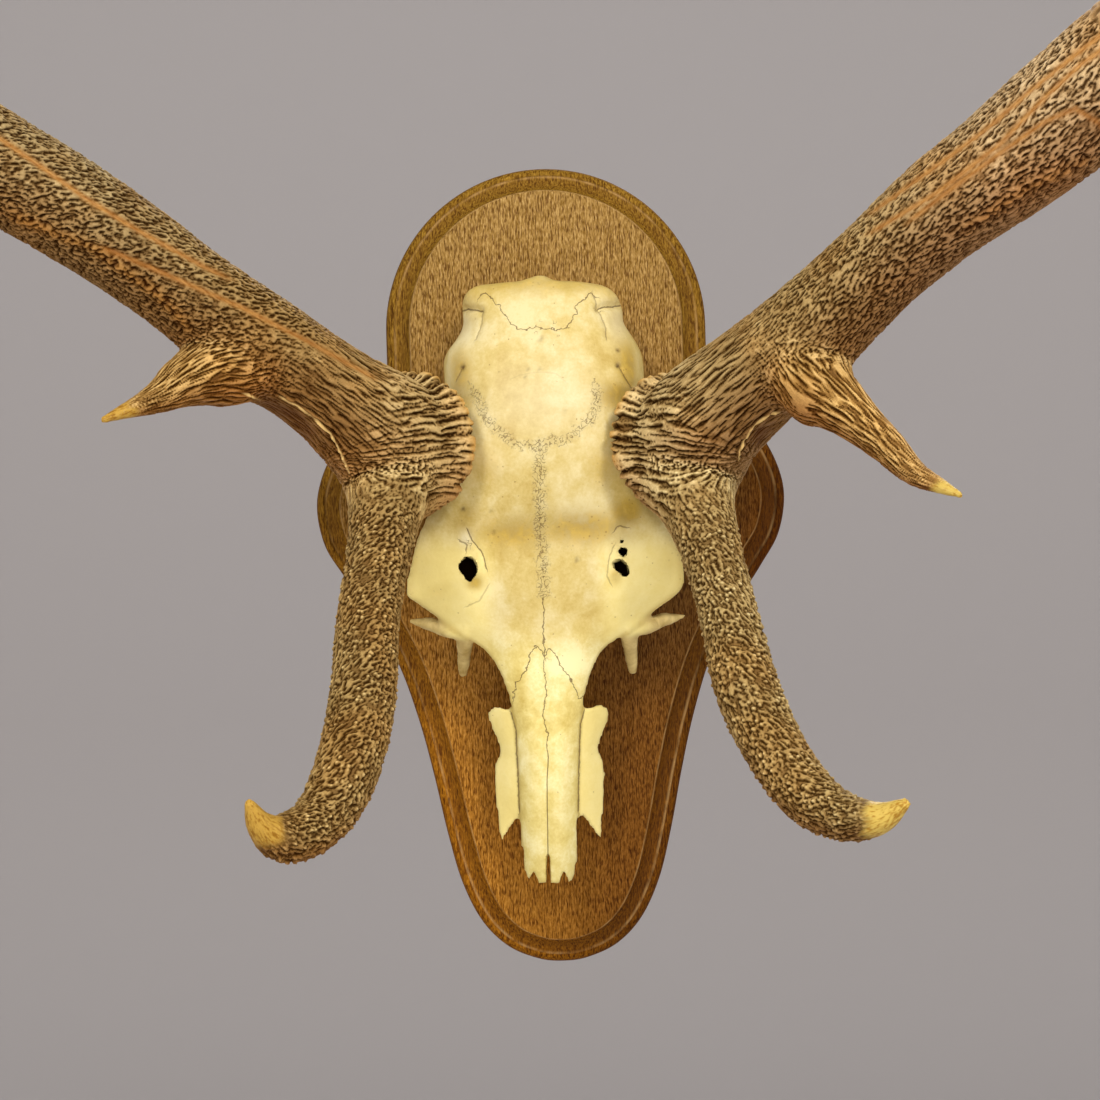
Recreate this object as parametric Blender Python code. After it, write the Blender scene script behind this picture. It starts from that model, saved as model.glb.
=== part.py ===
"""Red deer antler trophy: a cut skull with both antlers on a carved oak shield.

Units are metres. X runs to the right as seen, Y into the wall and Z up. The origin is the middle of
the shield's flat back, so the wall is the plane y = 0 and everything stands in front of it, at -Y.
Each antler is split at its forks into beams and tines, which touch with a hair of clearance.
"""
import math

import bmesh
import bpy
import numpy as np
from mathutils import Matrix, Vector

MM = 0.001
GAP = 0.3 * MM          # clearance between pieces that touch
SWELL = 1.5             # how many gaps a cutter's points move out, so that its faces keep the gap in valleys
SEED = 7
PATH_STEPS = 12         # samples of a smooth path between two of its points
NEARLY_UPRIGHT = 0.2    # below this sine, a direction is too close to Z to cross it with Z
SHARP_ANGLE = math.radians(40)

# Shield: half outline in millimetres, from the side of the arch down to the foot
SHIELD_THICKNESS = 25 * MM
SHIELD_HALF_HEIGHT = 253 * MM
SHIELD_LEAN = math.radians(-0.6)    # the shield hangs a touch askew behind the skull
ARCH_RADIUS = 102 * MM
ARCH_POINTS = 9
ARCH_SIDE_DROP = 34 * MM
LOBE_AND_FOOT = [(108, 98), (122, 91), (139, 74), (149, 46), (145.5, 18), (133, -4), (114.5, -32), (99, -63),
                 (87.5, -98), (79, -133), (71.5, -169), (63, -201), (51, -226), (35, -242.5), (16, -251)]
# Edge moulding as (inset from the outline, height above the back) in millimetres
SHIELD_MOULDING = [(0, 0), (0, 10), (1.6, 13.6), (5.2, 15.2), (9.5, 16.4), (13.5, 19.4), (16.2, 24.2)]
SHIELD_FACE_INSET = 16.8 * MM
SHARPEST_MITRE = 0.7    # an inset corner moves no further than its inset divided by this

# Skull: curves over z in millimetres. Heights are measured from the front of the shield.
SKULL_SHIFT = -4 * MM   # the skull was screwed on a little left of the shield's middle
SKULL_LEFT = [(176, 10), (173.5, 31), (168, 45.5), (163, 49.5), (158, 44), (151, 49), (143, 55.5),
              (134, 60.5), (123, 62), (112, 60), (98, 57), (84, 57), (66, 60), (52, 62), (40, 66.5),
              (28, 73), (15, 79), (0, 83), (-11, 85.5), (-16, 86), (-22, 78.5), (-29, 69), (-37, 59),
              (-45, 46.5), (-52, 37.5), (-60, 32), (-70, 27.5), (-85, 23.2), (-104, 20.8), (-127, 19.8),
              (-152, 19.2), (-176, 18), (-189, 16.6), (-196, 13.5)]
SKULL_RIGHT = [(176, 12), (173.5, 31), (168, 46.5), (163, 50), (158, 49.5), (151, 51), (143, 55.5), (134, 62),
               (123, 63.5), (112, 62), (98, 58), (84, 57), (66, 59), (52, 61), (40, 65.5), (28, 72), (15, 79),
               (0, 84), (-11, 84.5), (-16, 82.5), (-22, 76), (-29, 66), (-37, 56.5), (-45, 44.5), (-52, 34.5),
               (-60, 29.5), (-70, 25.5), (-85, 21.5), (-104, 19.6), (-127, 18.6), (-152, 17.8), (-176, 16.8),
               (-189, 15.4), (-196, 12.5)]
SKULL_CROWN = [(176, 50), (172, 53.5), (162, 60), (143, 67.5), (112, 77.5), (88, 84), (64, 87), (44, 84.5),
               (15, 77), (-16, 71.5), (-58, 61.5), (-100, 52), (-150, 44), (-196, 36.5)]
SKULL_RIM = [(176, 46), (167, 38), (157, 28), (134, 20), (118, 24), (100, 38), (84, 56), (64, 64), (40, 65),
             (15, 60), (-16, 54), (-44, 53), (-66, 50.5), (-100, 44), (-150, 36.5), (-196, 31)]
SKULL_RIM_DEPTH = [(176, 5), (118, 14), (88, 12), (64, 10), (40, 7.5), (15, 5.5), (-16, 5), (-50, 4),
                   (-196, 3)]
SKULL_BULGE = [(176, 2.2), (150, 2.6), (112, 2.8), (64, 3.4), (36, 2.6), (0, 2.2), (-50, 2), (-196, 2)]
SKULL_FALL = [(176, 1.6), (134, 2.2), (112, 2.2), (88, 1.6), (64, 1.2), (36, 1), (-196, 1)]
# The wall under the overhanging plates: where it leaves them, and where it stands on the shield
SKULL_NECK = [(176, 0.95), (110, 0.97), (88, 0.92), (64, 0.86), (44, 0.76), (28, 0.6), (0, 0.47), (-16, 0.43),
              (-32, 0.5), (-48, 0.68), (-60, 0.72), (-196, 0.72)]
SKULL_SHELF = [(176, 43), (167, 20), (134, 9), (110, 12), (88, 30), (64, 46), (44, 54), (28, 58), (0, 60),
               (-16, 58.5), (-32, 56), (-48, 54), (-60, 51), (-100, 43.5), (-150, 36.2), (-196, 31)]
SKULL_FOOT = [(176, 0.7), (164, 0.9), (110, 0.95), (88, 0.92), (64, 0.85), (44, 0.66), (28, 0.53), (0, 0.43),
              (-16, 0.38), (-32, 0.4), (-48, 0.45), (-60, 0.4), (-196, 0.35)]
SKULL_LIFT = [(176, 40), (172, 26), (167, 9), (161, 0.3), (-24, 0.3), (-34, 16), (-46, 44), (-58, 54.5),
              (-72, 53.5), (-100, 47.5), (-150, 39.6), (-196, 32.6)]
SKULL_ACROSS = (0.0, 0.27, 0.52, 0.74, 0.9)   # where each section's upper side is sampled, rim = 1
SKULL_EDGE_TUCK = 0.985                       # the lower corner of the edge, as a share of the rim's width

# Strips of premaxilla beside the nasals, as (x from the skull's middle, z, height) in millimetres
STRIP_OUTER = [(33.5, -86, 38), (38, -92, 34), (31, -113, 31), (34.5, -126, 28), (33.5, -150, 25),
               (31, -172, 24)]
STRIP_INNER = [(21.5, -88, 46.5), (19.5, -97, 45), (18, -113, 42.5), (17.2, -126, 40.5), (16.5, -148, 37.5),
               (29, -169, 26)]
STRIP_THICKNESS = 2.6 * MM

# Spurs of cheek bone under the front corner of each eye socket, as (x, z, height, radius) in millimetres
SPUR_SIDE = [(46, -34, 55, 6), (56, -35, 50, 6.5), (66, -33, 43, 5.5), (76, -32, 37, 4), (85, -33, 33, 2)]
ROD_SIDES = 6
SPUR_PRONG = [(52, -34, 52, 6), (55, -43, 42, 6), (55.5, -52, 32, 5), (53.5, -61, 24, 4),
              (53.5, -68.5, 18, 2.2)]

# Blood vessel holes above the eye sockets, as (x from the skull's middle, z, radius) in millimetres
HOLES = [(-47.0, -1.5, 5.2), (45.0, -3.0, 4.8), (46.5, 7.6, 2.5)]
HOLE_DEPTH = 14 * MM
HOLE_SIDES = 10

# Notches between the nasals' tips, as (x from the skull's middle, depth, half width) in millimetres
NASAL_NOTCHES = [(-10.8, 7, 3.2), (-1.8, 18, 0.9), (7.6, 7, 3.0)]
NASAL_TIP = -196        # millimetres
NOTCH_MOUTH = 1.3       # half widths of a notch where it opens, a little beyond the bone's tip
NOTCH_END = 0.1         # half widths where it ends
NOTCH_OVERSHOOT = 3     # millimetres beyond the tip
NOTCH_REACH = 20        # millimetres above and below the bone

# Pedicles, the two bone stubs that the antlers grow on
PEDICLE_RADIUS = 26.5 * MM
PEDICLE_ROOT_RADIUS = 31 * MM
PEDICLE_LENGTH = 50 * MM
PEDICLE_SIDES = 18

# Antlers: centre lines as (x, y, z, radius) in millimetres, from the burr outwards
BURR_AXIS = {"left": Vector((-0.62, -0.775, -0.10)), "right": Vector((0.62, -0.775, -0.10))}
BEAM = {
    "left": [(-81, -94, 73, 36), (-91.5, -113, 75, 35.5), (-104, -134, 84.5, 34), (-130, -161, 104, 29.5),
             (-161, -187, 127.5, 28), (-196.5, -211, 154, 26.2), (-227.5, -227, 178, 26.7),
             (-262.5, -240, 201.5, 27.8), (-292.5, -250, 219.5, 28.5), (-326, -261, 241, 29.5),
             (-358, -270, 268, 30), (-392, -280, 312, 26.5), (-421, -290, 366, 25), (-440, -300, 428, 24.5),
             (-448, -309, 494, 24.5), (-444, -317, 560, 25.5), (-433, -324, 618, 27)],
    "right": [(68.5, -94, 72, 36), (79.5, -113, 76, 35.5), (92.5, -136, 87.5, 34), (120.5, -164, 108.5, 30.3),
              (152.5, -190, 134.5, 28.6), (183, -212, 162, 28), (214, -232, 189, 29.3),
              (244, -247, 211, 30.6), (273.5, -260, 233.5, 33), (298, -269, 254, 33.5),
              (327, -278, 282, 31), (358, -287, 325, 27.5), (384, -296, 378, 26), (400, -305, 438, 25),
              (406, -313, 502, 25), (401, -321, 566, 26), (389, -328, 622, 27.5)],
}
BEZ_FORK, TRAY_FORK, CROWN_FORK = 5, 10, 16        # places of the forks in the beams' lists
TINES = {
    "left": {
        "brow_tine": [(-90, -112, 62, 15), (-94, -126, 50, 25), (-96, -145, 38, 23), (-99, -178, 5.5, 19.5),
                      (-102, -212, -27.5, 18), (-102.3, -246, -58.5, 17.6), (-104.5, -272, -83.5, 17.4),
                      (-110, -297, -107, 16.6), (-121, -318, -126, 14.2), (-136, -338, -131.5, 12),
                      (-145.5, -352, -124, 7.6), (-150, -362, -112, 3)],
        "bez_tine": [(-158, -187, 126, 14), (-176, -203, 110, 18.5), (-189.5, -217, 103.5, 14),
                     (-201, -230, 99.5, 10.2), (-217.5, -248, 91, 6.2), (-235, -268, 83, 2)],
        "tray_tine": [(-345, -268, 262, 12), (-366, -287, 262, 19), (-392, -311, 262, 16.5),
                      (-424, -336, 270, 13.5), (-452, -356, 290, 9.5), (-470, -368, 318, 2.5)],
        "crown_top_tine": [(-433, -324, 618, 27), (-425, -330, 662, 17), (-410, -337, 706, 13),
                           (-391, -342, 748, 8.5), (-374, -344, 780, 2.5)],
        "crown_rear_tine": [(-437, -320, 598, 12), (-455, -311, 632, 16), (-474, -300, 668, 13),
                            (-488, -290, 706, 9), (-494, -284, 742, 2.5)],
        "crown_front_tine": [(-436, -323, 594, 12), (-429, -346, 620, 15.5), (-418, -367, 650, 12.5),
                             (-404, -383, 682, 8.5), (-388, -392, 714, 2.5)],
    },
    "right": {
        "brow_tine": [(76, -112, 60, 15), (76, -126, 48, 25), (78, -145, 34, 22.5), (87, -178, 2, 18.5),
                      (96, -212, -33.5, 16.8), (103.5, -246, -67.5, 17.2), (115.2, -276, -97.5, 16),
                      (130, -302, -119.5, 14.7), (146.5, -324, -128, 11.7), (160.5, -340, -126.5, 8.2),
                      (171, -352, -118.5, 3.2)],
        "bez_tine": [(138, -190, 116, 14), (150, -202, 100, 18), (161, -210, 91, 16),
                     (174, -224, 77.5, 12.2), (182.5, -238, 66, 10.3), (193.5, -258, 48.5, 7),
                     (205, -276, 39, 4), (213, -288, 34, 1.6)],
        "tray_tine": [(314, -276, 272, 12), (336, -295, 276, 20), (362, -318, 279, 17),
                      (392, -341, 290, 14), (418, -360, 311, 10), (435, -371, 340, 2.5)],
        "crown_top_tine": [(389, -328, 622, 27.5), (380, -334, 666, 17.5), (364, -341, 711, 13.5),
                           (345, -346, 754, 9), (329, -348, 788, 2.5)],
        "crown_rear_tine": [(393, -324, 602, 12), (411, -315, 635, 16.5), (431, -304, 671, 13.5),
                            (446, -294, 710, 9.5), (453, -288, 748, 2.5)],
        "crown_front_tine": [(392, -327, 598, 12), (386, -350, 624, 15.5), (375, -371, 655, 12.5),
                             (361, -387, 688, 8.5), (345, -396, 721, 2.5)],
    },
}
BURR_FLARE = [(0, 36), (3, 42), (8, 44.5), (13, 41.5), (19, 37)]      # (distance along, radius), millimetres
BEAM_SIDES, BURR_SIDES, TINE_SIDES, SMALL_TINE_SIDES = 12, 20, 12, 10
RING_SPACING = 17 * MM
RIDGE_HEIGHT = 1.5 * MM
RIDGE_STEADY = 0.75     # the even share of a ridge's height; the rest wanders along the antler
RIDGE_MEMORY = 0.7      # how much of that wandering one ring takes over from the ring before
RIDGE_SPREAD = 2        # how widely each ring's own share of it varies
TINE_ROUGHNESS = 0.8    # ridges on tines, as a share of those on beams
FULL_RIDGE_RADIUS = 12 * MM     # thinner tines have lower ridges
BURR_PEARL_HEIGHT = 2.4 * MM
SMOOTH_TIP = 35 * MM    # the last stretch of each tine, polished smooth

# Colours as linear RGB, with roughness
OAK = ((0.30, 0.145, 0.035), 0.45)
BONE = ((0.72, 0.58, 0.28), 0.5)
ANTLER = ((0.20, 0.11, 0.045), 0.6)


def clear_scene():
    """Start from an empty scene."""
    for obj in list(bpy.data.objects):
        bpy.data.objects.remove(obj, do_unlink=True)


def new_collection(name):
    """A collection of that name, linked to the scene."""
    collection = bpy.data.collections.new(name)
    bpy.context.scene.collection.children.link(collection)
    return collection


def new_material(name, colour, roughness):
    """A plain Principled material."""
    material = bpy.data.materials.new(name)
    material.use_nodes = True
    shader = material.node_tree.nodes["Principled BSDF"]
    shader.inputs["Base Color"].default_value = (*colour, 1)
    shader.inputs["Roughness"].default_value = roughness
    shader.inputs["Metallic"].default_value = 0
    return material


def as_object(name, mesh, root, look, parts):
    """A piece from a mesh in world places: its origin at its root, its own material, shaded smooth."""
    root = Vector(root)
    mesh.transform(Matrix.Translation(-root))
    obj = bpy.data.objects.new(name, mesh)
    parts.objects.link(obj)
    obj.location = root
    mesh.materials.append(new_material(name, *look))
    mesh.shade_smooth()
    mesh.set_sharp_from_angle(angle=SHARP_ANGLE)
    return obj


def loft(name, rings):
    """A closed mesh through rings of equal length, with a flat face on the first and on the last.

    The sides are triangles, so that a piece and the cutter made from it have the same facets.
    """
    shape = bmesh.new()
    loops = [[shape.verts.new(point) for point in ring] for ring in rings]
    sides = []
    for lower, upper in zip(loops, loops[1:]):
        for here in range(len(lower)):
            there = (here + 1) % len(lower)
            sides.append(shape.faces.new((lower[here], lower[there], upper[there], upper[here])))
    shape.faces.new(loops[0])
    shape.faces.new(loops[-1])
    bmesh.ops.triangulate(shape, faces=sides)
    bmesh.ops.recalc_face_normals(shape, faces=shape.faces[:])
    mesh = bpy.data.meshes.new(name)
    shape.to_mesh(mesh)
    shape.free()
    return mesh


def along(curve, place):
    """Read a curve of (z, value) pairs at one z, smoothly and without overshoot."""
    knots = np.array(curve[::-1], dtype=float)
    z, value = knots[:, 0], knots[:, 1]
    slope = np.diff(value) / np.diff(z)
    tangent = np.zeros(len(z))
    same_way = slope[1:] * slope[:-1] > 0
    harmonic = 2 * slope[1:] * slope[:-1] / np.where(same_way, slope[1:] + slope[:-1], 1)
    tangent[1:-1] = np.where(same_way, harmonic, 0)
    tangent[0], tangent[-1] = slope[0], slope[-1]
    place = min(max(place, z[0]), z[-1])
    left = min(int(np.searchsorted(z, place, side="right")) - 1, len(z) - 2)
    width = z[left + 1] - z[left]
    t = (place - z[left]) / width
    start = (1 + 2 * t) * (1 - t) ** 2 * value[left] + t * (1 - t) ** 2 * width * tangent[left]
    end = t * t * (3 - 2 * t) * value[left + 1] - t * t * (1 - t) * width * tangent[left + 1]
    return start + end


def smooth_path(points, first, last, spacing):
    """Evenly spaced rows of a smooth curve through the points, from one list place to another."""
    rows = np.array(points, dtype=float)
    padded = np.vstack((2 * rows[0] - rows[1], rows, 2 * rows[-1] - rows[-2]))
    fine = []
    for place in np.linspace(first, last, PATH_STEPS * (last - first) + 1):
        index = min(int(place), len(rows) - 2)
        t = place - index
        a, b, c, d = padded[index:index + 4]
        fine.append(0.5 * (2 * b + (c - a) * t + (2 * a - 5 * b + 4 * c - d) * t * t
                           + (3 * b - a - 3 * c + d) * t ** 3))
    fine = np.array(fine)
    steps = np.linalg.norm(np.diff(fine[:, :3], axis=0), axis=1)
    travelled = np.concatenate(([0], np.cumsum(steps)))
    count = max(4, round(travelled[-1] / spacing) + 1)
    wanted = np.linspace(0, travelled[-1], count)
    return np.column_stack([np.interp(wanted, travelled, column) for column in fine.T]), wanted


def carried_frames(centres, first_direction=None, last_direction=None):
    """A tangent and two cross directions at each centre, carried along without twist."""
    tangents = np.gradient(centres, axis=0)
    tangents /= np.linalg.norm(tangents, axis=1)[:, None]
    if first_direction is not None:
        tangents[0] = first_direction
    if last_direction is not None:
        tangents[-1] = last_direction
    side = Vector((0, 0, 1)).cross(Vector(tangents[0]))
    if side.length < NEARLY_UPRIGHT:
        side = Vector((1, 0, 0)).cross(Vector(tangents[0]))
    side.normalize()
    frames = []
    for tangent in tangents:
        direction = Vector(tangent).normalized()
        side = (side - direction * side.dot(direction)).normalized()
        frames.append((direction, side, direction.cross(side)))
    return frames


def antler_rings(path, distances, sides, relief, rng, first_direction=None, last_direction=None):
    """Rings around a path, pushed in and out by broken ridges that run along it."""
    frames = carried_frames(path[:, :3], first_direction, last_direction)
    turns = np.arange(sides) * 2 * math.pi / sides
    rings = []
    drift = rng.uniform(-1, 1, sides)
    for centre, distance, (_, side, up) in zip(path, distances, frames):
        fresh = rng.uniform(-RIDGE_SPREAD, RIDGE_SPREAD, sides)
        drift = RIDGE_MEMORY * drift + (1 - RIDGE_MEMORY) * fresh
        strength = relief(distance)
        ring = []
        for index, turn in enumerate(turns):
            ridge = (1 if index % 2 else -1) * (RIDGE_STEADY + (1 - RIDGE_STEADY) * drift[index])
            radius = centre[3] + strength * ridge
            ring.append(Vector(centre[:3]) + (side * math.cos(turn) + up * math.sin(turn)) * radius)
        rings.append(ring)
    return rings


def make_beams(side, parts):
    """The three beams of one antler, end to end, the lowest with its burr."""
    rng = np.random.default_rng(SEED + (side == "right"))
    points = np.array(BEAM[side], dtype=float) * MM
    made = []
    stretches = [("lower_beam", 0, BEZ_FORK, BURR_SIDES), ("middle_beam", BEZ_FORK, TRAY_FORK, BEAM_SIDES),
                 ("upper_beam", TRAY_FORK, CROWN_FORK, BEAM_SIDES)]
    for name, first, last, sides in stretches:
        path, distances = smooth_path(points, first, last, RING_SPACING)
        start, end = cut_direction(side, first), cut_direction(side, last)
        if first == 0:
            path, distances = with_burr(path, distances)
        else:
            path[0, :3] += np.array(start) * GAP
        rings = antler_rings(path, distances, sides, beam_relief(first == 0), rng, start, end)
        made.append(as_object(f"{side}_{name}", loft(name, rings), path[0, :3], ANTLER, parts))
    return made


def cut_direction(side, place):
    """The direction square to the plane that parts a beam at one place in its list of points."""
    if place == 0:
        return BURR_AXIS[side].normalized()
    points = BEAM[side]
    after = points[min(place + 1, len(points) - 1)]
    return (Vector(after[:3]) - Vector(points[place - 1][:3])).normalized()


def with_burr(path, distances):
    """Put the burr's short flare in place of the first stretch of the lower beam's path."""
    flare = np.array(BURR_FLARE, dtype=float) * MM
    last = flare[-1, 0]
    rows = [[*(np.interp(along_burr, distances, path[:, axis]) for axis in range(3)), radius]
            for along_burr, radius in flare]
    keep = distances > last + RING_SPACING / 2
    return np.vstack((rows, path[keep])), np.concatenate((flare[:, 0], distances[keep]))


def beam_relief(has_burr):
    """How far the ridges stand out along a beam: pearls on the burr, lower ridges after it."""
    burr_start, burr_end = BURR_FLARE[1][0] * MM, BURR_FLARE[-2][0] * MM

    def relief(distance):
        if has_burr and distance < burr_start:
            return 0
        if has_burr and distance <= burr_end:
            return BURR_PEARL_HEIGHT
        return RIDGE_HEIGHT
    return relief


def make_tine(side, name, parts, rng):
    """One tapering tine, ridged at its root and smooth at its tip."""
    points = np.array(TINES[side][name], dtype=float) * MM
    start = None
    if name == "crown_top_tine":
        start = cut_direction(side, CROWN_FORK)
        points[0, :3] += np.array(start) * GAP
    path, distances = smooth_path(points, 0, len(points) - 1, RING_SPACING)
    sides = TINE_SIDES if name == "brow_tine" else SMALL_TINE_SIDES

    def relief(distance):
        rough = min(1, (distances[-1] - distance) / SMOOTH_TIP)
        full = min(1, np.interp(distance, distances, path[:, 3]) / FULL_RIDGE_RADIUS)
        return TINE_ROUGHNESS * RIDGE_HEIGHT * rough * full
    rings = antler_rings(path, distances, sides, relief, rng, start)
    return as_object(f"{side}_{name}", loft(name, rings), path[0, :3], ANTLER, parts)


def swollen_copy(source, cutters):
    """A cutter with the source's shape, larger all round by the clearance."""
    mesh = source.data.copy()
    normals = [vertex.normal.copy() for vertex in mesh.vertices]
    for vertex, normal in zip(mesh.vertices, normals):
        vertex.co += normal * GAP * SWELL
    cutter = bpy.data.objects.new(source.name + "_clearance", mesh)
    cutter.location = source.location
    cutters.objects.link(cutter)
    hide_cutter(cutter)
    return cutter


def hide_cutter(cutter):
    """Keep a cutter out of the finished object."""
    cutter.hide_render = True
    cutter.display_type = "WIRE"


def boolean(target, other, operation):
    """Cut or join one object with another by a live modifier."""
    modifier = target.modifiers.new(other.name, "BOOLEAN")
    modifier.operation = operation
    modifier.solver = "EXACT"
    modifier.object = other


def make_antler(side, parts, cutters):
    """One antler: its beams, then its tines, each cut to sit on what it grew from."""
    rng = np.random.default_rng(SEED + 10 + (side == "right"))
    lower, middle, upper = make_beams(side, parts)
    tines = {name: make_tine(side, name, parts, rng) for name in TINES[side]}
    clear = {piece.name: swollen_copy(piece, cutters)
             for piece in (lower, middle, upper, tines["crown_top_tine"], tines["crown_rear_tine"])}
    seats = {"brow_tine": [lower], "bez_tine": [lower, middle], "tray_tine": [middle, upper],
             "crown_rear_tine": [upper, tines["crown_top_tine"]],
             "crown_front_tine": [upper, tines["crown_top_tine"], tines["crown_rear_tine"]]}
    for name, neighbours in seats.items():
        for neighbour in neighbours:
            boolean(tines[name], clear[neighbour.name], "DIFFERENCE")
    return clear[lower.name]


def shield_half_outline():
    """The right half of the shield's outline in metres, from the top of the arch to the foot."""
    centre = SHIELD_HALF_HEIGHT - ARCH_RADIUS
    angles = np.linspace(math.pi / 2, 0, ARCH_POINTS)
    arch = [(ARCH_RADIUS * math.cos(angle), centre + ARCH_RADIUS * math.sin(angle)) for angle in angles]
    side = [(ARCH_RADIUS, centre - ARCH_SIDE_DROP)]
    lower = [(x * MM, z * MM) for x, z in LOBE_AND_FOOT]
    return arch + side + lower + [(0, -SHIELD_HALF_HEIGHT)]


def shield_outline():
    """The whole outline, as one loop of points."""
    right = shield_half_outline()
    left = [(-x, z) for x, z in right[-2:0:-1]]
    cosine, sine = math.cos(SHIELD_LEAN), math.sin(SHIELD_LEAN)
    return np.array([(x * cosine + z * sine, z * cosine - x * sine) for x, z in right + left])


def inset(outline, distance):
    """The outline moved inwards by a distance, along the normals at its points."""
    before, after = np.roll(outline, 1, axis=0), np.roll(outline, -1, axis=0)
    towards = (outline - before) / np.linalg.norm(outline - before, axis=1)[:, None]
    away = (after - outline) / np.linalg.norm(after - outline, axis=1)[:, None]
    tangent = towards + away
    tangent /= np.linalg.norm(tangent, axis=1)[:, None]
    stretch = np.abs(np.sum(tangent * away, axis=1))
    normal = np.column_stack((tangent[:, 1], -tangent[:, 0]))
    reach = distance / np.maximum(stretch, SHARPEST_MITRE)
    return outline - normal * reach[:, None] * inwards_sign(outline)


def inwards_sign(outline):
    """Plus one for a clockwise outline, minus one for the other way round."""
    x, z = outline.T
    area = np.sum(x * np.roll(z, -1) - np.roll(x, -1) * z)
    return 1 if area > 0 else -1


def make_shield(parts):
    """The board: a flat back, a rounded edge, a shallow cove and a flat face."""
    outline = shield_outline()
    steps = [(step * MM, height * MM) for step, height in SHIELD_MOULDING]
    steps.append((SHIELD_FACE_INSET, SHIELD_THICKNESS))
    rings = [[Vector((x, -height, z)) for x, z in inset(outline, step)] for step, height in steps]
    return as_object("shield", loft("shield", rings), (0, 0, 0), OAK, parts)


def skull_section(z):
    """One closed section of the skull at a height z in millimetres, as (x, height above the shield)."""
    crown, rim = along(SKULL_CROWN, z), along(SKULL_RIM, z)
    bulge, fall = along(SKULL_BULGE, z), along(SKULL_FALL, z)
    lift, shelf = along(SKULL_LIFT, z), along(SKULL_SHELF, z)
    halves = []
    for outline in (SKULL_RIGHT, SKULL_LEFT):
        width = along(outline, z)
        top = [(width * u, rim + (crown - rim) * (1 - u ** bulge) ** (1 / fall)) for u in SKULL_ACROSS]
        neck, foot = width * along(SKULL_NECK, z), width * along(SKULL_FOOT, z)
        under_rim = rim - along(SKULL_RIM_DEPTH, z)
        lower = [(width, rim), (width * SKULL_EDGE_TUCK, under_rim),
                 ((width + neck) / 2, (max(under_rim, shelf) + shelf) / 2),
                 (neck, shelf), ((neck + foot) / 2, (shelf + lift) / 2), (foot, lift)]
        halves.append(top + lower)
    right, left = halves
    return right + [(0, lift)] + [(-x, height) for x, height in left[:0:-1]]


def skull_body():
    """The lofted body of the skull, from the nuchal crest down to the tips of the nasals."""
    rings = [[place_in_skull(x, z, height) for x, height in skull_section(z)] for z, _ in SKULL_LEFT]
    return loft("skull", rings)


def place_in_skull(x, z, height):
    """A point given in the skull's own millimetres, as world metres."""
    return Vector((x * MM + SKULL_SHIFT, -SHIELD_THICKNESS - height * MM, z * MM))


def add_helper(name, mesh, cutters):
    """A hidden object that only shapes another one."""
    helper = bpy.data.objects.new(name, mesh)
    cutters.objects.link(helper)
    hide_cutter(helper)
    return helper


def pedicle(side, cutters):
    """The bone stub under one antler, ending just short of the burr."""
    axis = BURR_AXIS[side].normalized()
    end = Vector(BEAM[side][0][:3]) * MM - axis * GAP
    middle, turn = end - axis * PEDICLE_LENGTH / 2, axis.to_track_quat("Z", "Y").to_euler()
    bpy.ops.mesh.primitive_cone_add(vertices=PEDICLE_SIDES, radius1=PEDICLE_ROOT_RADIUS,
                                    radius2=PEDICLE_RADIUS, depth=PEDICLE_LENGTH,
                                    location=middle, rotation=turn)
    return adopt(bpy.context.object, side + "_pedicle", cutters)


def adopt(obj, name, cutters):
    """Name a new primitive and move it among the cutters."""
    obj.name = name
    for collection in list(obj.users_collection):
        collection.objects.unlink(obj)
    cutters.objects.link(obj)
    hide_cutter(obj)
    return obj


def bone_rod(name, points, mirror, cutters):
    """A tapering rod of bone through (x, z, height, radius) points."""
    rings = []
    rows = [(place_in_skull(mirror * x, z, height), radius * MM) for x, z, height, radius in points]
    centres = np.array([row[0] for row in rows])
    for (centre, radius), (_, side, up) in zip(rows, carried_frames(centres)):
        turns = [index * math.tau / ROD_SIDES for index in range(ROD_SIDES)]
        rings.append([centre + (side * math.cos(turn) + up * math.sin(turn)) * radius for turn in turns])
    return add_helper(name, loft(name, rings), cutters)


def strip(side, mirror, cutters):
    """One thin strip of premaxilla, leaning outwards from under the edge of the nasal."""
    rings = []
    for outer, inner in zip(STRIP_OUTER, STRIP_INNER):
        a, b = place_in_skull(mirror * outer[0], *outer[1:]), place_in_skull(mirror * inner[0], *inner[1:])
        back = Vector((0, STRIP_THICKNESS, 0))
        rings.append([a, b, b + back, a + back])
    return add_helper(side + "_strip", loft("strip", rings), cutters)


def hole_cutter(index, x, z, radius, cutters):
    """A short round cutter for one blood vessel hole."""
    height = along(SKULL_CROWN, z)
    start = place_in_skull(x, z, height)
    bpy.ops.mesh.primitive_cylinder_add(vertices=HOLE_SIDES, radius=radius * MM, depth=2 * HOLE_DEPTH,
                                        location=start, rotation=(math.pi / 2, 0, 0))
    return adopt(bpy.context.object, f"vessel_hole_{index}", cutters)


def notch_cutter(index, x, depth, half_width, cutters):
    """A wedge that parts the tips of the nasal bones."""
    low, high = along(SKULL_LIFT, NASAL_TIP) - NOTCH_REACH, along(SKULL_CROWN, NASAL_TIP) + NOTCH_REACH
    mouth, end = NOTCH_MOUTH * half_width, NOTCH_END * half_width
    below, above = NASAL_TIP - NOTCH_OVERSHOOT, NASAL_TIP + depth
    corners = [(x - mouth, below), (x + mouth, below), (x + end, above), (x - end, above)]
    rings = [[place_in_skull(*corner, height) for corner in corners] for height in (low, high)]
    return add_helper(f"nasal_notch_{index}", loft("notch", rings), cutters)


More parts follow.
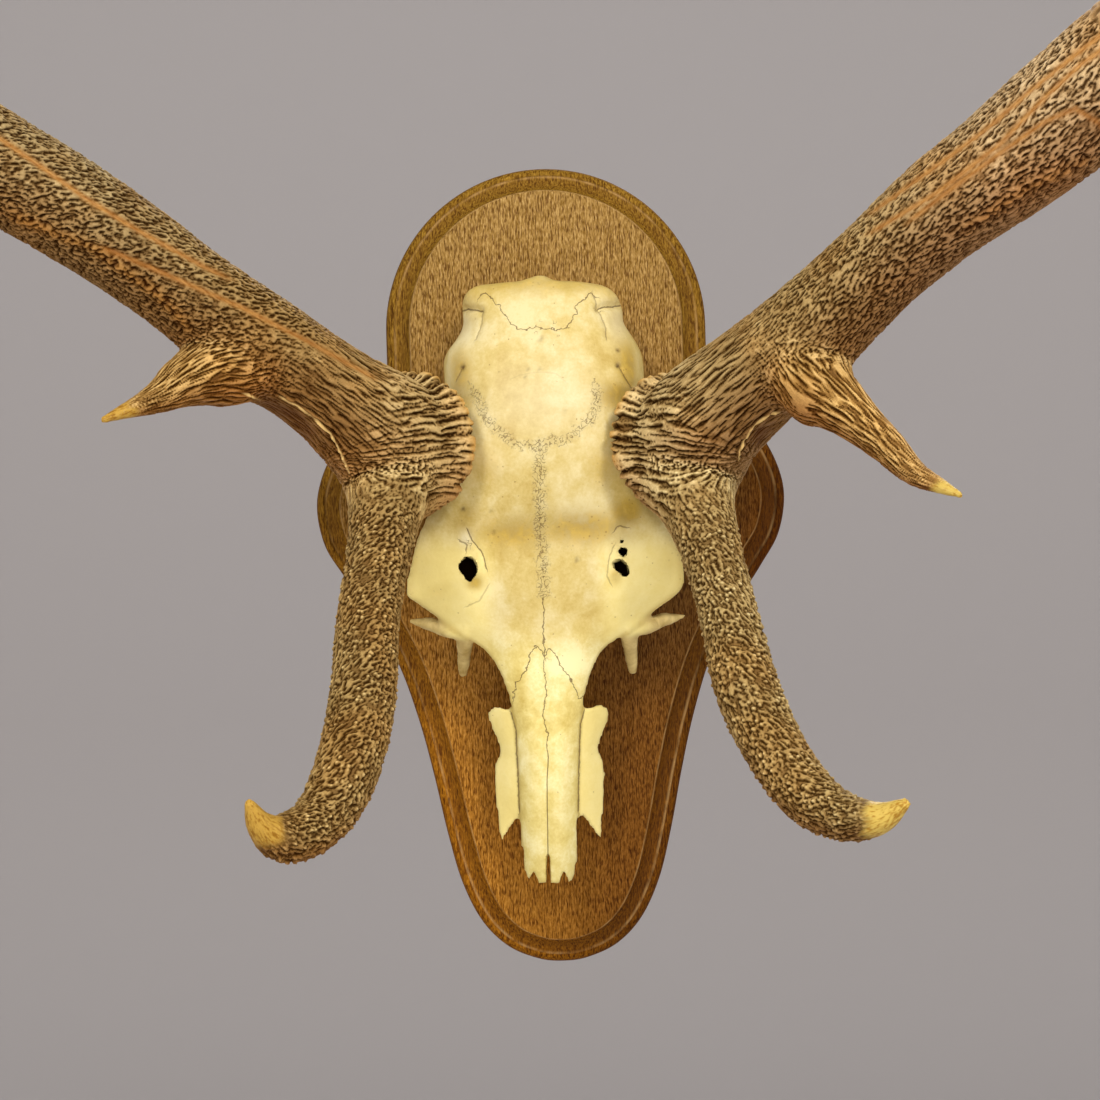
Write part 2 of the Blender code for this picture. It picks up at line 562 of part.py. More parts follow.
def make_skull(parts, cutters, burr_clearances):
    """The skull: its lofted body with pedicles, spurs and strips joined on and the holes cut out."""
    skull = as_object("skull", skull_body(), place_in_skull(0, 0, 0), BONE, parts)
    for side, mirror in (("left", -1), ("right", 1)):
        boolean(skull, pedicle(side, cutters), "UNION")
        boolean(skull, strip(side, mirror, cutters), "UNION")
        boolean(skull, bone_rod(side + "_spur_side", SPUR_SIDE, mirror, cutters), "UNION")
        boolean(skull, bone_rod(side + "_spur_prong", SPUR_PRONG, mirror, cutters), "UNION")
    for index, (x, z, radius) in enumerate(HOLES):
        boolean(skull, hole_cutter(index, x, z, radius, cutters), "DIFFERENCE")
    for index, (x, depth, half_width) in enumerate(NASAL_NOTCHES):
        boolean(skull, notch_cutter(index, x, depth, half_width, cutters), "DIFFERENCE")
    for clearance in burr_clearances:
        boolean(skull, clearance, "DIFFERENCE")
    return skull


def hang(parts):
    """Parent every piece to one empty, the point on the wall that the trophy hangs from."""
    pieces = list(parts.objects)
    wall_point = bpy.data.objects.new("wall_point", None)
    parts.objects.link(wall_point)
    for piece in pieces:
        piece.parent = wall_point


def main():
    """Build the whole trophy."""
    clear_scene()
    parts = new_collection("red_deer_antler_trophy")
    cutters = new_collection("cutters")
    make_shield(parts)
    burrs = [make_antler(side, parts, cutters) for side in ("left", "right")]
    make_skull(parts, cutters, burrs)
    hang(parts)


main()
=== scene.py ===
"""Looks of the red deer antler trophy: shield, skull and antlers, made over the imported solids.

Units are metres. X runs to the right as seen, Y into the wall and Z up. The origin is the middle of
the shield's flat back. Lists of points are in millimetres.
"""
import math
from contextlib import contextmanager

import bmesh
import bpy
import numpy as np
from mathutils import Matrix, Vector


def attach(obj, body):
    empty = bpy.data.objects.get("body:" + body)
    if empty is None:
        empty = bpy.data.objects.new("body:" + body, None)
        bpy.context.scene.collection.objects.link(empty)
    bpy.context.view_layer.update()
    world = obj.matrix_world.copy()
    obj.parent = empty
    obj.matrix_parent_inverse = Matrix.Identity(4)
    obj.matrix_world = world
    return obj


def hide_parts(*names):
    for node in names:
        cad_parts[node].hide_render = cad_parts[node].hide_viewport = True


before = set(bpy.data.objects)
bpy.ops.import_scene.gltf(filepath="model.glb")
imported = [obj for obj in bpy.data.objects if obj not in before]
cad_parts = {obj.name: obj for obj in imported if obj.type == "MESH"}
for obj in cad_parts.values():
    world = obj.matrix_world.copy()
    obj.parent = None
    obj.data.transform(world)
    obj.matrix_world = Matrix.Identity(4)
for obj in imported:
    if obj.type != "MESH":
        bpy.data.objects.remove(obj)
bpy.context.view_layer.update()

MM = 0.001
FINE_STEPS = 24                         # steps from point to point while a curve is measured

# Camera, as it stood for the photograph
PHOTO_SIDE = 1100                       # pixels
FOCAL_PIXELS = 2333
CAMERA_PLACE = Vector((-0.0013, -1.50, 0.0095))
CAMERA_ROLL = math.radians(1.0)

# Shield: half outline in millimetres, from the side of the arch down to the foot
SHIELD_HALF_HEIGHT = 253
SHIELD_THICKNESS = 25
SHIELD_LEAN = math.radians(-0.6)
ARCH_RADIUS = 102
ARCH_SIDE_DROP = 34
LOBE_AND_FOOT = [(108, 98), (122, 91), (139, 74), (149, 46), (145.5, 18), (133, -4), (114.5, -32), (99, -63),
                 (87.5, -98), (79, -133), (71.5, -169), (63, -201), (51, -226), (35, -242.5), (16, -251)]
OUTLINE_STEP = 2.0                      # millimetres between the points of the outline
# Edge moulding as (inset from the outline, height above the back) in millimetres
SHIELD_MOULDING = [(0.5, 0), (0, 0.6), (0, 9.2), (0.3, 11.0), (1.0, 12.6), (2.1, 13.9), (3.4, 14.7),
                   (4.6, 15.0), (5.2, 14.8), (5.7, 14.3), (6.4, 14.4), (8.2, 14.9), (10.2, 15.9),
                   (12.2, 17.4), (14.0, 19.6), (15.3, 22.0), (15.9, 24.0), (16.3, 24.7), (16.9, 25.0)]
BACK_EDGE = 1                           # millimetres above the back where insets begin to count
SHARP_ANGLE = math.radians(35)          # edges with a smaller turn are shaded smooth
WORN_OAK = (190, 152, 96)


def smooth_path(points, spacing, first=0, last=None):
    """Evenly spaced rows of a smooth curve through the points, and their distances along it."""
    rows = np.array(points, dtype=float)
    last = len(rows) - 1 if last is None else last
    padded = np.vstack((2 * rows[0] - rows[1], rows, 2 * rows[-1] - rows[-2]))
    places = np.linspace(first, last, int(FINE_STEPS * (last - first)) + 1)
    index = np.minimum(places.astype(int), len(rows) - 2)
    t = (places - index)[:, None]
    a, b, c, d = (padded[index + offset] for offset in range(4))
    cubic = 3 * b - a - 3 * c + d
    fine = 0.5 * (2 * b + (c - a) * t + (2 * a - 5 * b + 4 * c - d) * t ** 2 + cubic * t ** 3)
    steps = np.linalg.norm(np.diff(fine[:, :3], axis=0), axis=1)
    travelled = np.concatenate(([0], np.cumsum(steps)))
    count = max(4, round(travelled[-1] / spacing) + 1)
    wanted = np.linspace(0, travelled[-1], count)
    return np.column_stack([np.interp(wanted, travelled, column) for column in fine.T]), wanted


# Meshes and their points

def vectors(items, key):
    """One vector for each item of a mesh, as an array."""
    values = np.zeros(len(items) * 3, np.float32)
    items.foreach_get(key, values)
    return values.reshape(-1, 3).astype(float)


def points_of(mesh):
    """The mesh's points as an array."""
    return vectors(mesh.vertices, "co")


def normals_of(mesh):
    """The directions that the mesh's points face."""
    return vectors(mesh.vertices, "normal")


def set_points(mesh, points):
    """Move the mesh's points."""
    mesh.vertices.foreach_set("co", points.astype(np.float32).ravel())
    mesh.update()


def set_fields(mesh, **fields):
    """Store numbers or vectors at the mesh's points, under the names given."""
    for name, values in fields.items():
        values = np.asarray(values, dtype=np.float32)
        kind, key = ("FLOAT_VECTOR", "vector") if values.ndim == 2 else ("FLOAT", "value")
        mesh.attributes.new(name, kind, "POINT").data.foreach_set(key, values.ravel())


@contextmanager
def opened(mesh, result=None):
    """The mesh in a form that can be reshaped. It is written back at the end, or to another mesh."""
    shape = bmesh.new()
    shape.from_mesh(mesh)
    yield shape
    shape.to_mesh(mesh if result is None else result)
    shape.free()


def linked(name, data):
    """A new object in the scene."""
    made = bpy.data.objects.new(name, data)
    bpy.context.scene.collection.objects.link(made)
    return made


def closed_tubes(name, tubes):
    """A mesh of closed tubes, each given as rings of points, its faces turned outwards."""
    points, faces = [], []
    for rings in tubes:
        base, count = len(points), len(rings[0])
        points += [tuple(point) for ring in rings for point in ring]
        for row in range(len(rings) - 1):
            for here in range(count):
                there = (here + 1) % count
                low, high = base + row * count, base + (row + 1) * count
                faces.append((low + here, low + there, high + there, high + here))
        faces.append(tuple(range(base + count - 1, base - 1, -1)))
        faces.append(tuple(range(len(points) - count, len(points))))
    mesh = bpy.data.meshes.new(name)
    mesh.from_pydata(points, [], faces)
    with opened(mesh) as shape:
        bmesh.ops.recalc_face_normals(shape, faces=shape.faces[:])
    return mesh


def with_modifier(mesh, kind, **settings):
    """The mesh after one modifier."""
    helper = linked("helper", mesh)
    modifier = helper.modifiers.new(kind, kind)
    for key, value in settings.items():
        setattr(modifier, key, value)
    graph = bpy.context.evaluated_depsgraph_get()
    made = bpy.data.meshes.new_from_object(helper.evaluated_get(graph))
    bpy.data.objects.remove(helper)
    bpy.data.meshes.remove(mesh)
    return made


def neighbours(mesh):
    """The two ends of each of the mesh's edges, and the number of edges at each point."""
    ends = np.zeros(len(mesh.edges) * 2, np.int32)
    mesh.edges.foreach_get("vertices", ends)
    first, second = ends.reshape(-1, 2).T
    return first, second, np.maximum(1, np.bincount(ends, minlength=len(mesh.vertices)))


def relaxed(mesh, points, share, passes):
    """Points moved towards the middle of their neighbours, each by its own share."""
    first, second, degree = neighbours(mesh)
    count = len(points)
    for _ in range(passes):
        middle = np.column_stack([np.bincount(first, points[second, axis], count)
                                  + np.bincount(second, points[first, axis], count) for axis in range(3)])
        points = points + (middle / degree[:, None] - points) * share[:, None]
    return points


def spacing_of(mesh, points):
    """How far the mesh's points are from their neighbours."""
    first, second, degree = neighbours(mesh)
    lengths = np.linalg.norm(points[first] - points[second], axis=1)
    count = len(points)
    return (np.bincount(first, lengths, count) + np.bincount(second, lengths, count)) / degree


def new_piece(name, mesh, material, slot, *nodes):
    """Add a finished piece of the object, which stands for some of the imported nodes."""
    piece = linked(name, mesh)
    mesh.materials.clear()
    mesh.materials.append(material)
    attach(piece, "root")
    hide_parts(*nodes)


# Materials

class Value:
    """What a node gives, with sums, products and steps that add further nodes."""

    def __init__(self, look, socket):
        self.look, self.socket = look, socket

    def __add__(self, other):
        return self.look.math("ADD", self, other)

    def __sub__(self, other):
        return self.look.math("SUBTRACT", self, other)

    def __mul__(self, other):
        return self.look.math("MULTIPLY", self, other)

    def __abs__(self):
        return self.look.math("ABSOLUTE", self)

    def at_most(self, other):
        """The smaller of two numbers."""
        return self.look.math("MINIMUM", self, other)

    def within(self, low, high, start=0.0, end=1.0):
        """The number's place between two others, eased and kept from start to end."""
        return self.look.add("MapRange", {0: self, 1: low, 2: high, 3: start, 4: end},
                             interpolation_type="SMOOTHSTEP")


class Look:
    """A material's node tree, with short ways to add the nodes that the materials here share."""

    def __init__(self, name):
        self.material = bpy.data.materials.new(name)
        self.material.use_nodes = True
        self.tree = self.material.node_tree
        self.shader = self.tree.nodes["Principled BSDF"]

    def feed(self, socket, value):
        """Link a socket to what another node gives, or set its value."""
        if isinstance(value, Value):
            self.tree.links.new(value.socket, socket)
        elif socket.type == "RGBA" and len(value) == 3:
            socket.default_value = (*value, 1)
        else:
            socket.default_value = value

    def node(self, kind, inputs, **settings):
        """A new node with its settings, its inputs fed by name or number."""
        made = self.tree.nodes.new("ShaderNode" + kind)
        for key, value in settings.items():
            setattr(made, key, value)
        for key, value in inputs.items():
            self.feed(made.inputs[key], value)
        return made

    def add(self, kind, inputs, output=0, **settings):
        """One output of a new node."""
        return Value(self, self.node(kind, inputs, **settings).outputs[output])

    def math(self, operation, a, b=0.0):
        """A sum, product or other operation on numbers."""
        return self.add("Math", {0: a, 1: b}, operation=operation)

    def mix(self, share, a, b, blend="MIX"):
        """Two colours mixed."""
        return self.add("Mix", {0: share, 6: a, 7: b}, 2, data_type="RGBA", blend_type=blend)

    def tint(self, base, colour, share=1.0):
        """A colour multiplied by another, wholly or by a share."""
        return self.mix(share, base, colour, "MULTIPLY")

    def counted(self, where, size):
        """Coordinates in metres as counts of features, of one size or three sizes in millimetres."""
        factors = tuple(1 / (np.ones(3) * size * MM))
        return self.add("VectorMath", {0: where, 1: factors}, operation="MULTIPLY")

    def noise(self, where, size, detail, roughness=0.55, warp=0.0):
        """Noise from 0 to 1 with features of the given size in millimetres."""
        return self.add("TexNoise", {"Vector": self.counted(where, size), "Scale": 1.0, "Detail": detail,
                                     "Roughness": roughness, "Distortion": warp}, "Fac")

    def cells(self, where, size):
        """The distance to the nearest of scattered points, as a share of their spacing in millimetres."""
        return self.add("TexVoronoi", {"Vector": self.counted(where, size), "Scale": 1.0}, "Distance")

    def ramp(self, value, *stops):
        """A colour for a number, from (place, red, green, blue) stops, the colours from 0 to 255."""
        node = self.node("ValToRGB", {0: value})
        while len(node.color_ramp.elements) < len(stops):
            node.color_ramp.elements.new(0.5)
        for element, (place, *colour) in zip(node.color_ramp.elements, stops):
            element.position = place
            element.color = (*srgb(*colour), 1)
        return Value(self, node.outputs[0])

    def field(self, name, output="Fac"):
        """A number, or a vector, stored at the mesh's points."""
        return self.add("Attribute", {}, output, attribute_name=name)

    def place(self):
        """Coordinates in the object's own frame, which is the row frame."""
        return self.add("TexCoord", {}, "Object")

    def axes(self, vector):
        """The three numbers of a vector."""
        return [Value(self, output) for output in self.node("SeparateXYZ", {0: vector}).outputs]

    def bump(self, height, depth):
        """A bumped normal from a height from 0 to 1, its depth in millimetres."""
        return self.add("Bump", {"Height": height, "Distance": depth * MM, "Strength": 1.0})

    def finish(self, **inputs):
        """Feed the shader and return the material. Underscores in the names stand for spaces."""
        for key, value in inputs.items():
            self.feed(self.shader.inputs[key.replace("_", " ")], value)
        return self.material


def srgb(red, green, blue):
    """A colour given from 0 to 255, as linear light."""
    return tuple((c / 255 / 12.92) if c <= 10 else ((c / 255 + 0.055) / 1.055) ** 2.4
                 for c in (red, green, blue))


# Camera, light and backdrop

def make_camera():
    """The camera of the photograph."""
    data = bpy.data.cameras.new("camera")
    data.angle = 2 * math.atan(PHOTO_SIDE / 2 / FOCAL_PIXELS)
    camera = linked("camera", data)
    turn = Matrix.Rotation(CAMERA_ROLL, 4, "Y") @ Matrix.Rotation(math.pi / 2, 4, "X")
    camera.matrix_world = Matrix.Translation(CAMERA_PLACE) @ turn
    bpy.context.scene.camera = camera


# The backdrop, in metres
FLOOR_LEVEL = -1.7
MIDDLE_RADIUS = 0.01
BOWL_RADIUS = 6.0
BOWL_BEND = 1.2
BOWL_HEIGHT = 6.0
BOWL_SIDES, BEND_STEPS = 96, 12
BACKDROP_COLOUR = (0.55, 0.52, 0.515)


def make_backdrop():
    """A pale floor that curves up into a wall all round, far enough out for any view of the trophy."""
    bends = np.linspace(0, math.pi / 2, BEND_STEPS + 1)
    profile = [(MIDDLE_RADIUS, FLOOR_LEVEL)]
    profile += [(BOWL_RADIUS - BOWL_BEND + BOWL_BEND * math.sin(turn),
                 FLOOR_LEVEL + BOWL_BEND - BOWL_BEND * math.cos(turn)) for turn in bends]
    profile.append((BOWL_RADIUS, FLOOR_LEVEL + BOWL_HEIGHT))
    shape = bmesh.new()
    turns = np.linspace(0, math.tau, BOWL_SIDES, endpoint=False)
    rings = [[shape.verts.new((radius * math.cos(turn), radius * math.sin(turn), height)) for turn in turns]
             for radius, height in profile]
    for lower, upper in zip(rings, rings[1:]):
        for here in range(len(turns)):
            there = (here + 1) % len(turns)
            shape.faces.new((lower[here], lower[there], upper[there], upper[here]))
    shape.faces.new(rings[0])
    mesh = bpy.data.meshes.new("backdrop")
    shape.to_mesh(mesh)
    shape.free()
    mesh.shade_smooth()
    look = Look("backdrop")
    mesh.materials.append(look.finish(Base_Color=BACKDROP_COLOUR, Roughness=0.95))
    floor = linked("backdrop", mesh)


# Where the lights of the trophy point, and each light's place, target, size, power and colour
TROPHY = (0, -0.1, 0.0)
LIGHTS = {
    "key_left": ((-1.3, -2.9, 1.9), TROPHY, 0.8, 62, (1.0, 0.975, 0.94)),
    "key_right": ((1.3, -2.9, 1.9), TROPHY, 0.8, 74, (1.0, 0.975, 0.94)),
    "fill": ((0.2, -3.1, -0.9), TROPHY, 1.8, 30, (0.99, 0.99, 1.0)),
    "side_left": ((-2.7, -1.1, 0.4), TROPHY, 1.2, 18, (1.0, 0.985, 0.96)),
    "side_right": ((2.7, -1.1, 0.4), TROPHY, 1.2, 18, (1.0, 0.985, 0.96)),
    "rim": ((0.6, 2.6, 1.8), (0, 0, 0.1), 1.6, 40, (1.0, 0.98, 0.95)),
    "wall": ((0, 1.6, 2.6), (0, 6, 0.2), 2.5, 42, (1.0, 0.985, 0.975)),
}
SURROUNDINGS = (1.0, 0.985, 0.965)
SURROUNDINGS_STRENGTH = 0.3


def make_light():
    """Soft square lights, out of the camera's sight, and weak light from all round."""
    for name, (place, target, size, power, colour) in LIGHTS.items():
        data = bpy.data.lights.new(name, "AREA")
        data.size, data.energy, data.color = size, power, colour
        light = linked(name, data)
        light.location = place
        light.rotation_euler = (Vector(target) - Vector(place)).to_track_quat("-Z", "Y").to_euler()
        light.visible_camera = False
    world = bpy.data.worlds.new("surroundings")
    bpy.context.scene.world = world
    world.use_nodes = True
    background = world.node_tree.nodes["Background"]
    background.inputs["Color"].default_value = (*SURROUNDINGS, 1)
    background.inputs["Strength"].default_value = SURROUNDINGS_STRENGTH
    bpy.context.scene.view_settings.view_transform = "Standard"


# Shield

def shield_outline():
    """The shield's outline in millimetres, as a closed loop of points that starts at the top of the arch."""
    centre = SHIELD_HALF_HEIGHT - ARCH_RADIUS
    angles = np.linspace(math.pi / 2, 0, round(ARCH_RADIUS * math.pi / 2 / OUTLINE_STEP))
    arch = np.column_stack((ARCH_RADIUS * np.cos(angles), centre + ARCH_RADIUS * np.sin(angles)))
    drop = np.linspace(centre, centre - ARCH_SIDE_DROP, round(ARCH_SIDE_DROP / OUTLINE_STEP))[1:-1]
    side = np.column_stack((np.full(len(drop), ARCH_RADIUS), drop))
    corner = (ARCH_RADIUS, centre - ARCH_SIDE_DROP)
    last_x, last_z = LOBE_AND_FOOT[-1]
    foot = [corner, *LOBE_AND_FOOT, (0, -SHIELD_HALF_HEIGHT), (-last_x, last_z)]
    lower, _ = smooth_path([(x, z, 0) for x, z in foot], OUTLINE_STEP, 0, len(foot) - 2)
    right = np.vstack((arch, side, lower[:-1, :2]))
    left = (right * (-1, 1))[:0:-1]
    x, z = np.vstack((right, [(0, -SHIELD_HALF_HEIGHT)], left)).T
    cosine, sine = math.cos(SHIELD_LEAN), math.sin(SHIELD_LEAN)
    return np.column_stack((x * cosine + z * sine, z * cosine - x * sine))


def make_shield():
    """The board: a flat back, a rounded rim, a cove and a flat face."""
    outline = shield_outline()
    along = np.roll(outline, -1, axis=0) - np.roll(outline, 1, axis=0)
    along /= np.linalg.norm(along, axis=1)[:, None]
    inwards = np.column_stack((along[:, 1], -along[:, 0]))
    rings = [[(x * MM, -height * MM, z * MM) for x, z in outline + inwards * inset]
             for inset, height in SHIELD_MOULDING]
    insets = [inset if height > BACK_EDGE else 0 for inset, height in SHIELD_MOULDING]
    mesh = closed_tubes("shield", [rings])
    mesh.shade_smooth()
    mesh.set_sharp_from_angle(angle=SHARP_ANGLE)
    set_fields(mesh, inset=np.repeat(insets, len(outline)))
    new_piece("oak_shield", mesh, oak_look(), "oak", "shield")


def oak_look():
    """Old oiled oak with fine upright grain and dark pores: golden above, redder and darker below, partly as
    painted shade, with a painted shadow on the lower right and painted shade at the right side and in the
    cove.
    """
    look = Look("oak")
    where, inset = look.place(), look.field("inset")
    x, _, z = look.axes(where)
    wide = look.noise(where, (24, 24, 200), 3, 0.5, 0.3)
    lines = look.noise(where, (1.0, 1.0, 60), 3, 0.65, 0.2)
    fine = look.noise(where, (0.9, 0.9, 3.2), 2, 0.6)
    pores = look.noise(where, (0.9, 1.4, 6.0), 1, 0.5).within(0.54, 0.62)
    tone = wide * 0.05 + lines * 0.35 + fine * 0.6
    base = look.ramp(tone, (0.38, 110, 77, 24), (0.46, 136, 103, 49), (0.54, 154, 120, 65),
                     (0.62, 176, 142, 85))
    # Redder and darker towards the bottom: partly the oak's own tone, partly painted shade where less light
    # falls.
    height = (z + look.noise(where, (60, 60, 160), 2) * 0.1).within(-0.14, 0.24)
    base = look.mix(height, look.tint(base, (1.15, 0.83, 0.37)), base)
    # Painted shadow on the lower right of the face.
    base = look.tint(base, (0.45, 0.4, 0.4), x.within(-0.02, 0.05) * z.within(-0.02, 0.16, 1.0, 0.0))
    # Painted shade towards the right side of the shield.
    base = look.tint(base, srgb(228, 194, 130), x.within(0.09, 0.14))
    base = look.tint(base, srgb(150, 120, 80), pores * 0.75)
    base = look.tint(base, (0.74, 0.66, 0.26), inset.within(15.0, 15.8, 1.0, 0.0))
    worn = look.noise(where, (8, 8, 22), 3)
    groove = inset.within(4.9, 5.5) * inset.within(5.7, 7.5, 1.0, 0.0)
    arris = inset.within(15.4, 15.8) * inset.within(16.3, 16.8, 1.0, 0.0)
    cove = inset.within(5.5, 7.5) * inset.within(12.0, 15.5, 1.0, 0.0)
    # Worn lighter lines at the groove and the arris; the cove darkened all round as painted shade; the outer
    # edge darker.
    for share, colour in ((groove * worn.within(0.35, 0.65, 0.1, 0.55), WORN_OAK),
                          (arris * worn.within(0.3, 0.7, 0.1, 0.5), WORN_OAK), (cove * 0.25, (92, 58, 24)),
                          (inset.within(0.1, 1.6, 1.0, 0.0) * 0.45, (84, 50, 18))):
        base = look.mix(share, base, srgb(*colour))
    relief = lines * 0.5 + fine * 0.3 - pores * 0.8
    return look.finish(Base_Color=base, Roughness=tone * 0.25 + 0.5, Normal=look.bump(relief, 0.16),
                       Specular_IOR_Level=0.05)


# Noise for shaping, the same each run

def hashed(cells, seed):
    """A random whole number for each cell of a grid."""
    x, y, z = cells.astype(np.int64).astype(np.uint32).T
    mixed = x * np.uint32(0x8DA6B343) ^ y * np.uint32(0xD8163841) ^ z * np.uint32(0xCB1AB31F)
    mixed = mixed ^ np.uint32(seed * 0x9E3779B1 & 0xFFFFFFFF)
    for shift, factor in ((15, 0x2C1B3C6D), (12, 0x297A2D39), (15, 1)):
        mixed = (mixed ^ (mixed >> np.uint32(shift))) * np.uint32(factor)
    return mixed


def thirds(mixed):
    """Three numbers from -1 to 1 out of each random whole number."""
    return [((mixed >> np.uint32(shift)) & np.uint32(1023)).astype(np.float32) / 511.5 - 1
            for shift in (0, 10, 20)]


def swirl(places, seed):
    """Gradient noise of about -0.8 to 0.8 with one feature to a unit."""
    places = np.asarray(places, dtype=np.float32)
    cells = np.floor(places)
    part = places - cells
    ease = part ** 3 * (part * (part * 6 - 15) + 10)
    total = np.zeros(len(places), np.float32)
    for corner in np.ndindex(2, 2, 2):
        slopes = thirds(hashed(cells + corner, seed))
        weight, value = 1.0, 0.0
        for axis, step in enumerate(corner):
            weight = weight * (ease[:, axis] if step else 1 - ease[:, axis])
            value = value + slopes[axis] * (part[:, axis] - step)
        total += weight * value
    return total


def beads(places, seed):
    """Round bumps of height 0 to 1 round scattered points, one to a unit."""
    places = np.asarray(places, dtype=np.float32)
    cells = np.floor(places)
    nearest = np.full(len(places), 9.0, np.float32)
    for offset in np.ndindex(3, 3, 3):
        cell = cells + np.array(offset) - 1
        spread = thirds(hashed(cell, seed))
        apart = sum((cell[:, axis] + 0.5 + 0.38 * spread[axis] - places[:, axis]) ** 2 for axis in range(3))
        nearest = np.minimum(nearest, apart)
    return np.sqrt(np.clip(1 - nearest / 0.16, 0, 1))


def eased(value, low, high):
    """0 below low, 1 above high and smooth between."""
    t = np.clip((value - low) / (high - low), 0, 1)
    return t * t * (3 - 2 * t)


def patches(places, sizes, seed):
    """Noise with features of the given sizes, for places given as columns."""
    return swirl(np.column_stack(places) / sizes, seed)


def line_distance(points, line):
    """For flat points: signed distance from a line of corners, place along it, and its length."""
    line = np.asarray(line, dtype=float)
    best, place, travelled = np.full(len(points), 1e9), np.zeros(len(points)), 0.0
    for start, end in zip(line, line[1:]):
        step = end - start
        length = np.linalg.norm(step)
        offset = points - start
        t = np.clip(offset @ step / length ** 2, 0, 1)
        left = step[0] * offset[:, 1] - step[1] * offset[:, 0] >= 0
        apart = np.linalg.norm(offset - t[:, None] * step, axis=1) * np.where(left, 1, -1)
        closer = np.abs(apart) < np.abs(best)
        best = np.where(closer, apart, best)
        place = np.where(closer, travelled + t * length, place)
        travelled += length
    return best, place, travelled


# Antlers

BURR_AXIS = {"left": (-0.62, -0.775, -0.10), "right": (0.62, -0.775, -0.10)}
# Centre lines as (x, y, z, radius), from the burr outwards
BEAM = {
    "left": [(-81, -94, 73, 36), (-91.5, -113, 75, 35.5), (-104, -134, 84.5, 34), (-130, -161, 105, 28.6),
             (-161, -187, 127.5, 28), (-196.5, -211, 154, 26.2), (-227.5, -227, 178, 26.7),
             (-262.5, -240, 201.5, 27.8), (-292.5, -250, 219.5, 28.5), (-326, -261, 241, 29.5),
             (-358, -270, 268, 30), (-392, -280, 312, 26.5), (-421, -290, 366, 25), (-440, -300, 428, 24.5),
             (-448, -309, 494, 24.5), (-444, -317, 560, 25.5), (-433, -324, 618, 27)],
    "right": [(72.5, -94, 69, 36), (82.5, -113, 74, 35.5), (94, -136, 86.5, 34), (120.5, -164, 108.5, 30.3),
              (152.5, -190, 135, 28.2), (183, -212, 163.5, 26.5), (214, -232, 190, 28.4),
              (244, -247, 211, 30.6), (273.5, -260, 233.5, 33), (298, -269, 254, 33.5),
              (327, -278, 282, 31), (358, -287, 325, 27.5), (384, -296, 378, 26), (400, -305, 438, 25),
              (406, -313, 502, 25), (401, -321, 566, 26), (389, -328, 622, 27.5)],
}
TINES = {
    "left": {
        "brow_tine": [(-90, -112, 62, 15), (-93, -126, 50, 24.5), (-95.5, -145, 38, 21.5),
                      (-99, -178, 5.5, 17.8), (-102.5, -212, -27.5, 17.2), (-102.3, -246, -58.5, 17.6),
                      (-104.5, -272, -83.5, 17.4), (-110, -297, -107, 16.6), (-121, -318, -126, 14.2),
                      (-136, -338, -131.5, 12), (-145.5, -352, -124, 7.6), (-150, -362, -112, 3)],
        "bez_tine": [(-158, -187, 126, 14), (-176, -203, 113, 18.5), (-189.5, -217, 109.5, 17),
                     (-201, -230, 103.5, 13), (-210, -240, 96.5, 9), (-219.5, -250, 91, 6),
                     (-236, -267, 82.5, 2)],
        "tray_tine": [(-345, -268, 262, 12), (-366, -287, 262, 19), (-392, -311, 262, 16.5),
                      (-424, -336, 270, 13.5), (-452, -356, 290, 9.5), (-470, -368, 318, 2.5)],
        "crown_top_tine": [(-433, -324, 618, 27), (-425, -330, 662, 17), (-410, -337, 706, 13),
                           (-391, -342, 748, 8.5), (-374, -344, 780, 2.5)],
        "crown_rear_tine": [(-437, -320, 598, 12), (-455, -311, 632, 16), (-474, -300, 668, 13),
                            (-488, -290, 706, 9), (-494, -284, 742, 2.5)],
        "crown_front_tine": [(-436, -323, 594, 12), (-429, -346, 620, 15.5), (-418, -367, 650, 12.5),
                             (-404, -383, 682, 8.5), (-388, -392, 714, 2.5)],
    },
    "right": {
        "brow_tine": [(78, -112, 60, 15), (81, -126, 48, 25), (84.5, -145, 34, 20.8), (91.6, -178, 2, 16.8),
                      (98, -212, -33.5, 16.2), (103.5, -246, -67.5, 17.2), (115.2, -276, -97.5, 16),
                      (130, -302, -119.5, 14.7), (146.5, -324, -128, 11.7), (160.5, -340, -126.5, 8.2),
                      (171, -352, -118.5, 3.2)],
        "bez_tine": [(138, -190, 116, 14), (149, -202, 97, 20.5), (159, -210, 88, 16),
                     (172, -224, 74.3, 11.4), (182, -238, 62.5, 9.6), (193, -258, 47.5, 6.8),
                     (205, -276, 39, 4), (213, -288, 34, 1.6)],
        "tray_tine": [(314, -276, 272, 12), (336, -295, 276, 20), (362, -318, 279, 17),
                      (392, -341, 290, 14), (418, -360, 311, 10), (435, -371, 340, 2.5)],
        "crown_top_tine": [(389, -328, 622, 27.5), (380, -334, 666, 17.5), (364, -341, 711, 13.5),
                           (345, -346, 754, 9), (329, -348, 788, 2.5)],
        "crown_rear_tine": [(393, -324, 602, 12), (411, -315, 635, 16.5), (431, -304, 671, 13.5),
                            (446, -294, 710, 9.5), (453, -288, 748, 2.5)],
        "crown_front_tine": [(392, -327, 598, 12), (386, -350, 624, 15.5), (375, -371, 655, 12.5),
                             (361, -387, 688, 8.5), (345, -396, 721, 2.5)],
    },
}
BURR_FLARE = [(0, 33), (1.5, 38), (4, 41.5), (8, 43.5), (12, 43), (16, 40), (22, 36.8), (30, 35.6)]
TUBE_SIDES = 40
TUBE_STEP = 3.0
END_ANGLES = np.radians((35, 60, 80))   # of the rings that round off a branch's end
BATCH = 40000                           # points looked up at a time
ANTLER_VOXEL = 1.5      # the parts in the photograph, halved again on their front
TOP_VOXEL = 2.7         # the part beyond the photograph's edge
